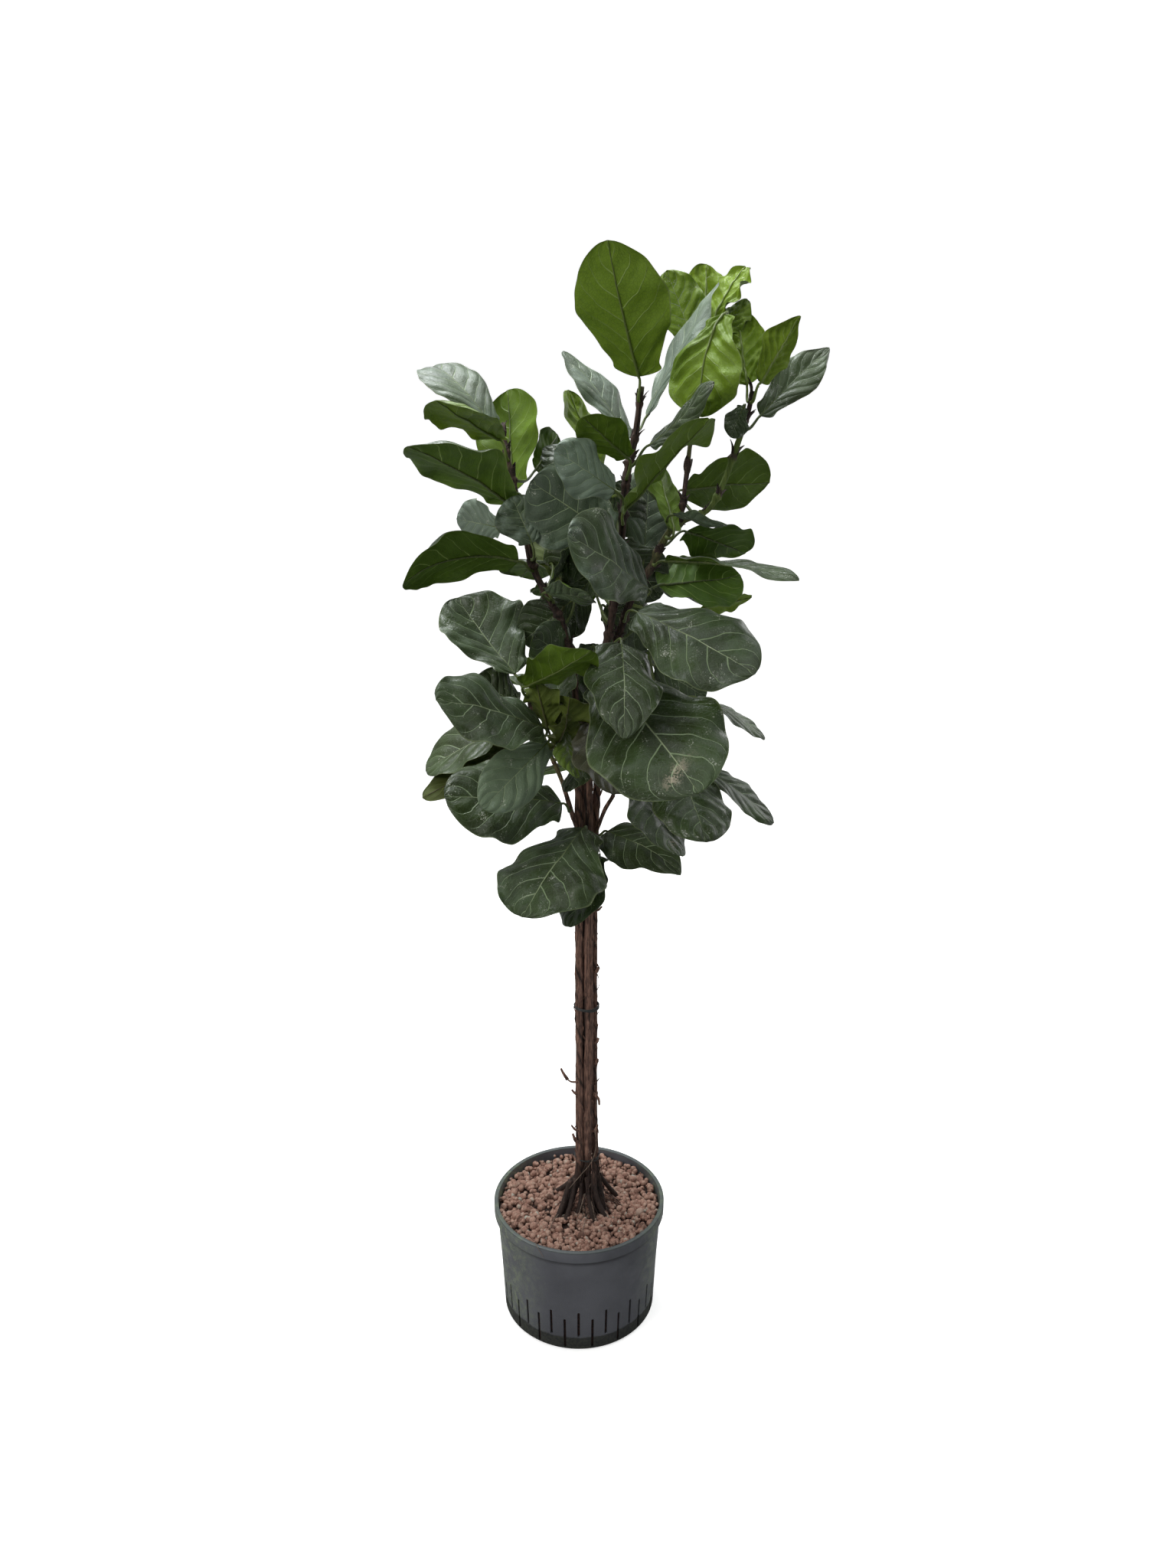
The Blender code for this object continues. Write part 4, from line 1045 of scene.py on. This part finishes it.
# heights where the crown's knobs and bracts start and where the trunk's swell has faded out
CROWN_FOOT = 96
TRUNK_TOP = 95
TRUNK_SWELL = 0.1
# heights where a stem's bark starts to turn green, how far above its foot a shoot's does, and
# how much higher it has all turned
GREEN_WOOD = {"left": 138.0, "middle": 143.0, "right": 124.0}
SHOOT_GREEN = 6
RIPENING = 12


def node_places(length, seed):
    """Distances in cm along a stem where leaves grow or grew."""
    rng = random.Random(seed)
    places = [rng.uniform(1.0, NODE_SPACING)]
    while places[-1] < length:
        places.append(places[-1] + NODE_SPACING * rng.uniform(0.65, 1.3))
    return places[:-1]


def add_scale(bm, root, ahead, out, length, width):
    """A small dry bract that hugs the stem and lifts off it at its tip."""
    t = np.linspace(0, 1, 7)
    across = np.linspace(-1, 1, 5)
    side = np.cross(ahead, out)
    half = width / 2 * np.sin(math.pi * (0.2 + 0.78 * t)) ** 0.7
    centre = root + ahead * (length * t)[:, None] + out * (0.02 + 0.35 * length * t ** 2.5)[:, None]
    bend = -0.45 * half[:, None] * across[None, :] ** 2
    face = (centre[:, None, :] + side * (half[:, None] * across[None, :])[:, :, None]
            + out * bend[:, :, None])
    back = face - out * 0.05
    rings = np.concatenate([face, back[:, ::-1], face[:, :1]], axis=1)
    place_closed_grid(bm, rings)


def stem_parts(name):
    """A stem and its shoots: the name, the route in even steps and the seed of each."""
    for index, part in enumerate((name, *SHOOTS_OF[name])):
        yield part, even_route(ROUTES[part], STEM_STEP), index * 31 + len(name)


def add_node_scales(bm, rng, route, row, across, over):
    """The bracts round one node."""
    ahead = route[min(row + 1, len(route) - 1), :3] - route[row - 1, :3]
    ahead /= np.linalg.norm(ahead)
    for _ in range(rng.randint(3, 5)):
        turn = rng.uniform(0, 2 * math.pi)
        out = across * math.cos(turn) + over * math.sin(turn)
        root = route[row, :3] + out * (route[row, 3] + 0.02)
        add_scale(bm, root, ahead, out, rng.uniform(0.8, 2.3), rng.uniform(0.6, 1.2))


def make_scales():
    """Dry bracts round the nodes of the crown."""
    rng = random.Random(5)
    bm = bmesh.new()
    for name in STEMS:
        for _, route, seed in stem_parts(name):
            across, over = frames_along(route[:, :3])
            for place in node_places((len(route) - 1) * STEM_STEP, seed):
                row = int(place / STEM_STEP)
                if route[row, 2] >= CROWN_FOOT:
                    add_node_scales(bm, rng, route, row, across[row], over[row])
    finish_piece(bm, "bud_scales", (DARK_SCALE,))


def bark_relief(run, sides, radius, seed, young, high):
    """Height in cm of fibres, leaf scars and knobs over a stem's surface, and the scars' mask.
    young fades the fibres; high makes the scars into thick knobs."""
    rows = len(run)
    rng = np.random.default_rng(seed)
    fibres = value_field(rows, sides + 1, 9, 1.3, seed, closed=True) * 0.07
    swells = value_field(rows, sides + 1, 14, 8, seed + 1, closed=True) * 0.06
    groove_at = np.sin(np.linspace(0, 2 * math.pi, sides + 1)[None, :] * 2
                       + value_field(rows, 2, 60, 1, seed + 2)[:, :1] * 3)
    grooves = -np.clip(groove_at - 0.7, 0, 1) * 0.6
    scars = np.zeros(rows)
    for place in node_places(run[-1], seed):
        scars += rng.uniform(0.6, 1.3) * np.exp(-((run - place) / rng.uniform(0.25, 0.5)) ** 2)
    knobs = value_field(rows, sides + 1, 2, 5, seed + 3, closed=True) * 0.5 + 0.8
    relief = (fibres + swells + grooves) * (1 - 0.75 * young[:, None])
    relief += (scars * (0.08 + 0.27 * high))[:, None] * knobs
    return relief * np.minimum(radius / 0.5, 1.0)[:, None], scars


def make_stem(name):
    bm = bmesh.new()
    tints, groove_shades = [], []
    for part, route, seed in stem_parts(name):
        run = np.arange(len(route)) * STEM_STEP
        green = GREEN_WOOD[name] if part == name else route[0, 2] + SHOOT_GREEN
        young = np.clip((route[:, 2] - green) / RIPENING, 0, 1)
        high = np.clip((route[:, 2] - CROWN_FOOT) / RIPENING, 0, 1)
        relief, scars = bark_relief(run, BARK_SIDES, route[:, 3], seed, young, high)
        if part == name:
            route[:, 3] += TRUNK_SWELL * np.clip((TRUNK_TOP - route[:, 2]) / 10, 0, 1)
        add_tube(bm, route, BARK_SIDES, 0, relief)
        tints.append(np.repeat(young * (1 - np.clip(scars * 1.6, 0, 1)), BARK_SIDES))
        # painted shade in the bark's grooves, stronger the deeper the relief sinks
        groove_shades.append(np.clip(-relief[:, :-1] * 9 - 0.25, 0, 0.9).ravel())
    piece = finish_piece(bm, name + "_bark", (BARK,), ("stem_" + name,))
    paint(piece, "bark_tint", np.concatenate(tints))
    paint(piece, "bark_groove_shade", np.concatenate(groove_shades))


# twigs, hooks and thorns left on the trunk: points from the bark outwards, root radius
TWIGS = (
    (((0.0, -1.0, 41.3), (-0.6, -1.1, 41.3), (-1.3, -1.1, 41.4), (-1.9, -1.1, 41.9)), 0.2),
    (((-1.8, -1.1, 41.8), (-2.1, -1.1, 42.3), (-2.5, -1.1, 43.0), (-2.8, -1.1, 43.7)), 0.3),
    (((2.2, 0.4, 38.5), (2.7, 0.0, 38.2), (3.2, 0.0, 37.5), (3.3, 0.0, 36.5)), 0.3),
    (((0.0, -0.9, 39.0), (-0.6, -1.1, 39.3), (-1.1, -1.1, 39.9)), 0.27),
    (((0.0, -0.9, 32.4), (-0.6, -1.3, 32.8), (-1.2, -1.3, 33.6)), 0.24),
    (((0.0, -0.9, 30.2), (-0.6, -1.3, 30.8), (-1.0, -1.3, 32.0)), 0.3),
    (((2.2, 0.3, 31.6), (2.7, 0.0, 31.9), (3.0, 0.0, 32.8)), 0.36),
    (((2.6, 0.6, 70.0), (3.1, 0.2, 70.2), (3.6, 0.0, 70.8)), 0.24),
    (((2.4, 0.6, 59.6), (2.8, 0.2, 59.9), (3.1, 0.0, 60.6)), 0.39),
    (((2.2, 0.6, 47.4), (2.8, 0.3, 47.6), (3.1, 0.2, 48.3)), 0.38),
    (((2.3, 0.6, 43.8), (2.8, 0.3, 44.0), (3.0, 0.2, 44.6)), 0.42),
)
# flakes of loose bark: their number, the heights between which they hang, and their stems
FLAKES = 150
FLAKE_SPAN = (21, 96)
FLAKED_STEMS = ("left", "middle", "right", "right")
# name, height, wire radius and turns of each tie
TIES = (("tie_low", 27.0, 0.08, 3), ("tie_middle", 54.0, 0.16, 2), ("tie_high", 75.0, 0.08, 3))
# dry aerial roots and threads at the foot of the trunk, and the thick roots that carry it
# down into the clay: points, radius at the start
DRY_ROOTS = (
    (((2.6, -1.2, 32.7), (2.8, -1.6, 30.0), (2.0, -2.4, 27.5), (0.3, -2.8, 25.4),
      (-1.6, -3.0, 23.0)), 0.07),
    (((2.0, -2.2, 23.4), (0.8, -3.2, 21.4), (0.2, -4.6, 20.2), (-0.4, -6.4, 18.9)), 0.07),
    (((0.4, -2.4, 21.4), (0.7, -4.0, 20.0), (0.6, -5.4, 18.9)), 0.07),
    (((1.6, -2.4, 21.8), (2.3, -4.4, 20.2), (2.6, -5.6, 18.9)), 0.08),
    (((3.4, -2.8, 19.6), (4.6, -4.6, 19.3), (5.4, -6.6, 18.8)), 0.08),
    (((1.9, -3.4, 19.2), (1.0, -6.0, 19.2), (0.6, -8.6, 18.9)), 0.08),
    (((-2.6, -3.4, 19.4), (-4.2, -6.4, 19.3), (-4.6, -8.6, 18.9)), 0.06),
    (((-6.4, -11.4, 19.1), (-6.6, -12.1, 19.9), (-6.3, -12.75, 19.6), (-5.4, -13.3, 18.3)), 0.06),
)
ROOT_LEGS = (
    (((-1.4, -2.2, 24.0), (-2.4, -3.4, 21.0), (-3.6, -4.8, 18.2)), 0.4),
    (((2.4, -1.4, 25.0), (2.8, -3.0, 21.6), (4.4, -4.4, 18.2)), 0.36),
    (((0.4, -1.6, 23.0), (0.2, -3.0, 20.4), (-0.6, -4.2, 18.0)), 0.3),
    (((-0.6, -1.8, 24.0), (-1.2, -3.4, 21.0), (-2.2, -5.0, 18.2)), 0.34),
    (((1.2, -1.4, 24.0), (1.7, -3.2, 21.0), (2.4, -5.0, 18.2)), 0.34),
    (((3.4, 0.6, 23.0), (5.0, 0.8, 20.4), (6.6, 1.4, 18.0)), 0.36),
    (((-0.6, 0.6, 22.6), (-2.4, 1.8, 20.0), (-4.2, 2.8, 18.0)), 0.36),
)
FINE_ROOTS = 46


def make_stubs():
    """Twigs left on the trunk, and flakes of loose bark."""
    bm = bmesh.new()
    for points, radius in TWIGS:
        add_tube(bm, thread(points, radius, 4, 0.45), 9)
    rng = random.Random(11)
    for _ in range(FLAKES):
        route = ROUTES[rng.choice(FLAKED_STEMS)]
        height = rng.uniform(*FLAKE_SPAN)
        x, y, z, size = (np.interp(height, [p[2] for p in route], [p[i] for p in route])
                         for i in range(4))
        turn = rng.uniform(0, 2 * math.pi)
        out = np.array((math.cos(turn), math.sin(turn), 0.0))
        lean = rng.choice((-1, 1, 1)) * rng.uniform(0.5, 1.4)
        root = np.array((x, y, z)) + out * (size * 0.95)
        tip = root + out * rng.uniform(0.2, 0.55) + UP * lean
        middle = (root + tip) / 2 + out * 0.06
        add_tube(bm, thread((root, middle, tip), rng.uniform(0.07, 0.19), 3, 0.75), 6)
    piece = finish_piece(bm, "cut_twigs", (BARK,))
    paint(piece, "bark_tint", np.zeros(len(piece.data.vertices)))


def make_ties():
    for name, height, size, turns in TIES:
        low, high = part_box(name)
        centre = (np.array(low) + np.array(high)) / 2 / CM
        reach = (np.array(high) - np.array(low)) / 2 / CM
        angle = np.linspace(0, 2 * math.pi, 60)
        bm = bmesh.new()
        for turn in range(turns):
            lift = (turn - 0.5) * size * 1.9
            ring = np.column_stack([
                centre[0] + (reach[0] - size) * np.cos(angle),
                centre[1] + (reach[1] - size) * np.sin(angle),
                height + lift + 0.12 * np.sin(angle * 2 + turn), np.full(len(angle), size * 0.8)])
            add_tube(bm, ring[:-1], 8)
        finish_piece(bm, name + "_wire", (WIRE,), (name,))


def add_threads(paths, sides, steps, taper):
    bm = bmesh.new()
    for points, radius in paths:
        add_tube(bm, thread(points, radius, steps, taper), sides)
    return bm


def make_roots():
    finish_piece(add_threads(DRY_ROOTS, 7, 6, 0.3), "dry_roots", (PALE_ROOT,))
    piece = finish_piece(add_threads(ROOT_LEGS, 14, 8, -0.2), "root_legs", (BARK,))
    paint(piece, "bark_tint", np.zeros(len(piece.data.vertices)))


def make_root_tangle():
    """Fine dark roots that run down the foot of the trunk and out into the clay."""
    rng = random.Random(23)
    bm = bmesh.new()
    for _ in range(FINE_ROOTS):
        turn = math.radians(rng.uniform(185, 365))
        out = np.array((math.cos(turn), math.sin(turn), 0.0))
        side = np.array((-out[1], out[0], 0.0))
        high = rng.uniform(20.5, 28.0)
        start = np.array((1.4, 0.2, high)) + out * rng.uniform(1.5, 2.0)
        knee = np.array((1.2, -0.4, rng.uniform(19.6, 22.0))) + out * rng.uniform(2.0, 3.4)
        knee += side * rng.uniform(-0.8, 0.8)
        middle = (start + knee) / 2 + side * rng.uniform(-0.7, 0.7) + out * 0.15
        end = np.array((1.2, -0.6, 18.5)) + out * rng.uniform(3.2, 6.4) + side * rng.uniform(-1.5, 1.5)
        add_tube(bm, thread((start, middle, knee, end), rng.uniform(0.035, 0.09), 5, 0.4), 6)
    finish_piece(bm, "root_tangle", (DARK_SCALE,))


# ---- pot -----------------------------------------------------------------------------

def wall_radius(height):
    heights, radii = zip(*WALL_PROFILE)
    return float(np.interp(height, heights, radii))


def turned(bm, profile, segments=144):
    """Spins rows of (radius, height) in cm round the z axis into a closed surface."""
    verts = [bm.verts.new((r * CM, 0.0, z * CM)) for r, z in profile]
    edges = [bm.edges.new(pair) for pair in zip(verts, verts[1:])]
    bmesh.ops.spin(bm, geom=verts + edges, angle=2 * math.pi, steps=segments, axis=UP,
                   cent=(0, 0, 0), use_merge=True)
    bmesh.ops.remove_doubles(bm, verts=bm.verts, dist=1e-6)


def rounded_slot(bm, matrix, length, width, depth):
    """A bar with rounded ends, to cut a slot: length along z, depth along x."""
    bmesh.ops.create_cube(bm, size=1.0, matrix=matrix @ Matrix.Diagonal(
        Vector((depth, width, length - width, 100.0)) * CM))
    for end in (-1, 1):
        shift = Matrix.Translation(Vector((0, 0, end * (length - width) / 2)) * CM)
        turn = Matrix.Rotation(math.pi / 2, 4, "Y")
        bmesh.ops.create_cone(bm, cap_ends=True, segments=14, radius1=width / 2 * CM,
                              radius2=width / 2 * CM, depth=depth * CM, matrix=matrix @ shift @ turn)


def pot_profile():
    """Rows of (radius, height) from the floor's middle up inside, over the rim band and
    down the outside to the middle again."""
    wall = [(radius, height) for height, radius in WALL_PROFILE]
    inner = [(0.0, FLOOR), (FOOT_RADIUS - WALL - 0.3, FLOOR), (FOOT_RADIUS - WALL, FLOOR + 0.2)]
    inner += [(radius - WALL, height) for radius, height in wall if height > FLOOR + 0.2]
    lip = [(RIM_RADIUS - inset, POT_HEIGHT - drop) for inset, drop in RIM_BAND]
    outer = [(wall_radius(h), h) for h in (19.2, 18.0, 16.0, 13.0, 10.0, 7.0, 4.0, 1.0, 0.4)]
    foot = [(FOOT_RADIUS + 0.25, 0.22), (FOOT_RADIUS + 0.05, 0.04), (FOOT_RADIUS - 0.15, 0.0)]
    return inner + lip + outer + foot + [(0.0, 0.0)]


def slot_cutter():
    """The bars that cut the wall's slots, high and low in turn, and the floor's."""
    cutters = bmesh.new()
    for slot in range(SLOTS):
        low, high = HIGH_SLOT if slot % 2 == 0 else LOW_SLOT
        turn = Matrix.Rotation(2 * math.pi * slot / SLOTS - math.pi / 2, 4, "Z")
        place = turn @ Matrix.Translation(Vector((FOOT_RADIUS + 0.4, 0, (low + high) / 2)) * CM)
        rounded_slot(cutters, place, high - low, SLOT_WIDTH, 2.6)
    near, far = FLOOR_SLOT_SPAN
    for slot in range(FLOOR_SLOTS):
        turn = Matrix.Rotation(2 * math.pi * (slot + 0.5) / FLOOR_SLOTS, 4, "Z")
        place = turn @ Matrix.Translation(Vector(((near + far) / 2, 0, 0)) * CM)
        lying = place @ Matrix.Rotation(math.pi / 2, 4, "Y")
        rounded_slot(cutters, lying, far - near, SLOT_WIDTH, 2.0)
    bmesh.ops.recalc_face_normals(cutters, faces=cutters.faces)
    return mesh_object(cutters, "slot_cutter")


def make_pot():
    bm = bmesh.new()
    turned(bm, pot_profile())
    pot = finish_piece(bm, "pot_shell", (PLASTIC,), ("pot",))
    cutter = slot_cutter()
    cut = pot.modifiers.new("slots", "BOOLEAN")
    cut.operation = "DIFFERENCE"
    cut.solver = "EXACT"
    cut.use_self = True
    cut.object = cutter
    graph = bpy.context.evaluated_depsgraph_get()
    carved = bpy.data.meshes.new_from_object(pot.evaluated_get(graph))
    pot.modifiers.clear()
    pot.data = carved
    bpy.data.objects.remove(cutter, do_unlink=True)
    for face in pot.data.polygons:
        face.use_smooth = True
    pot.data.set_sharp_from_angle(angle=math.radians(35))


# ---- clay core and pebbles -----------------------------------------------------------

def add_pebble(bm, rng, reach):
    """One rough fired pebble somewhere on the surface; gives its number of vertices."""
    radius = rng.choice(PEBBLE_RADII) * rng.uniform(0.85, 1.15)
    out = (reach - radius * 0.9) * math.sqrt(rng.random())
    turn = rng.uniform(0, 2 * math.pi)
    layer = rng.random()
    rise = CLAY_TOP - 0.35 + layer * 0.75 - radius * 0.35 + 0.25 * (1 - (out / reach) ** 2)
    place = Vector((out * math.cos(turn), out * math.sin(turn), rise)) * CM
    scale = Vector((rng.uniform(0.9, 1.15), rng.uniform(0.85, 1.05), rng.uniform(0.8, 1.0), 1.0))
    matrix = (Matrix.Translation(place) @ Matrix.Rotation(rng.uniform(0, 6.3), 4, "Z")
              @ Matrix.Rotation(rng.uniform(-0.7, 0.7), 4, "X") @ Matrix.Diagonal(scale))
    ball = bmesh.ops.create_uvsphere(bm, u_segments=8, v_segments=6, radius=radius * CM,
                                     matrix=matrix)["verts"]
    for vert in ball:
        vert.co += Vector([rng.uniform(-1, 1) for _ in range(3)]) * radius * CM * 0.04
    return len(ball)


def make_clay_core():
    """The clay under the loose pebbles, down to the pot's floor, dark as painted shade in their gaps.
    """
    low = FLOOR + 0.1
    heights = [height for height, _ in WALL_PROFILE if low < height < CLAY_TOP]
    side = [(wall_radius(height) - WALL - CLAY_GAP, height)
            for height in (CLAY_TOP - 0.5, *heights[::-1])]
    bm = bmesh.new()
    turned(bm, [(0.0, CLAY_TOP - 0.35), (9.0, CLAY_TOP - 0.4)] + side
           + [(FOOT_RADIUS - WALL - CLAY_GAP, low), (0.0, low)], 72)
    finish_piece(bm, "clay_core", (PEBBLE_GAP_SHADE,), ("clay_pebbles",))


def make_pebbles():
    """The loose pebbles of the surface, added in batches because a small mesh grows faster."""
    rng = random.Random(7)
    bm = bmesh.new()
    tints = []
    reach = wall_radius(CLAY_TOP) - WALL
    batch = bpy.data.meshes.new("pebble_batch")
    for _ in range(PEBBLES // PEBBLE_BATCH):
        few = bmesh.new()
        for _ in range(PEBBLE_BATCH):
            tints += [rng.random()] * add_pebble(few, rng, reach)
        few.to_mesh(batch)
        few.free()
        bm.from_mesh(batch)
    for face in bm.faces:
        face.smooth = True
    piece = finish_piece(bm, "top_pebbles", (FIRED_CLAY,))
    paint(piece, "pebble_tint", tints)


# ---- stage, lights and camera --------------------------------------------------------

PAPER_GLOW = 0.66
PAPER_BOUNCE = 0.34
# the paper's flat radius, the radius of its sweep, and the radius and height of its rim, in cm
STAGE_FLAT = 400.0
STAGE_SWEEP = 240.0
STAGE_RIM = (740.0, 800.0)
# name, place, aim, size in metres, power in watts and colour of each light
LIGHTS = (
    ("sky_light", (-0.5, 0.9, 3.7), (0.05, 0.0, 0.9), 1.7, 84.0, (0.94, 0.98, 1.0)),
    ("fill_light", (-2.5, -2.3, 2.4), (0.05, 0.0, 0.9), 1.5, 44.0, (1.0, 0.98, 0.95)),
    ("back_light", (2.4, 2.4, 2.0), (0.05, 0.0, 1.0), 1.8, 20.0, (1.0, 1.0, 1.0)),
)
SKY_COLOUR = (0.95, 0.98, 1.0, 1.0)
SKY_STRENGTH = 1.02
# the camera: place in metres, degrees below level, sensor and lens in mm
CAMERA_PLACE = (0.0148, -1.527, 1.329)
CAMERA_PITCH = 15.604
SENSOR_WIDTH = 36.0
LENS = 24.61


def make_paper():
    """White paper to the camera, which sends back less light than that to the plant."""
    material, g, shader = new_material("studio_paper")
    grain = g.noise(g.object_place(), 30.0, 3.0)
    g.put(shader["Base Color"], g.mix(grain, rgb(222, 221, 219), rgb(228, 227, 225)))
    shader["Roughness"].default_value = 0.95
    glow = g.node("ShaderNodeEmission")
    glow.inputs["Strength"].default_value = PAPER_GLOW
    bright = g.node("ShaderNodeAddShader")
    g.put(bright.inputs[0], g.tree.nodes["Principled BSDF"].outputs[0])
    g.put(bright.inputs[1], glow.outputs[0])
    dim = g.node("ShaderNodeBsdfDiffuse")
    dim.inputs["Color"].default_value = (PAPER_BOUNCE, PAPER_BOUNCE, PAPER_BOUNCE, 1.0)
    choice = g.node("ShaderNodeMixShader")
    g.put(choice.inputs[0], g.node("ShaderNodeLightPath").outputs["Is Camera Ray"])
    g.put(choice.inputs[1], dim.outputs[0])
    g.put(choice.inputs[2], bright.outputs[0])
    g.put(g.tree.nodes["Material Output"].inputs["Surface"], choice.outputs[0])
    return material


def make_stage():
    bm = bmesh.new()
    sweep = [(0.0, 0.0), (STAGE_FLAT, 0.0)]
    for degrees in range(8, 81, 8):
        turn = math.radians(degrees)
        sweep.append((STAGE_FLAT + STAGE_SWEEP * math.sin(turn),
                      STAGE_SWEEP - STAGE_SWEEP * math.cos(turn)))
    turned(bm, [*sweep, STAGE_RIM], 96)
    for face in bm.faces:
        face.smooth = True
    stage = mesh_object(bm, "stage_sweep")
    stage.data.materials.append(make_paper())


def add_light(name, place, aim, size, power, colour):
    data = bpy.data.lights.new(name, "AREA")
    data.shape = "DISK"
    data.size = size
    data.energy = power
    data.color = colour
    light = add_object(name, data)
    light.location = place
    light.rotation_euler = (Vector(aim) - Vector(place)).to_track_quat("-Z", "Y").to_euler()


def make_lights():
    world = bpy.data.worlds.new("studio")
    world.use_nodes = True
    background = world.node_tree.nodes["Background"].inputs
    background["Color"].default_value = SKY_COLOUR
    background["Strength"].default_value = SKY_STRENGTH
    bpy.context.scene.world = world
    for light in LIGHTS:
        add_light(*light)


def make_camera():
    data = bpy.data.cameras.new("view")
    data.sensor_width = SENSOR_WIDTH
    data.lens = LENS
    camera = add_object("view", data)
    camera.location = CAMERA_PLACE
    camera.rotation_euler = (math.radians(90 - CAMERA_PITCH), 0.0, 0.0)
    bpy.context.scene.camera = camera
    bpy.context.scene.view_settings.view_transform = "Standard"


make_camera()
make_leaves()
for stem in STEMS:
    make_stem(stem)
make_scales()
make_stubs()
make_ties()
make_roots()
make_root_tangle()
make_pot()
make_clay_core()
make_pebbles()
make_stage()
make_lights()
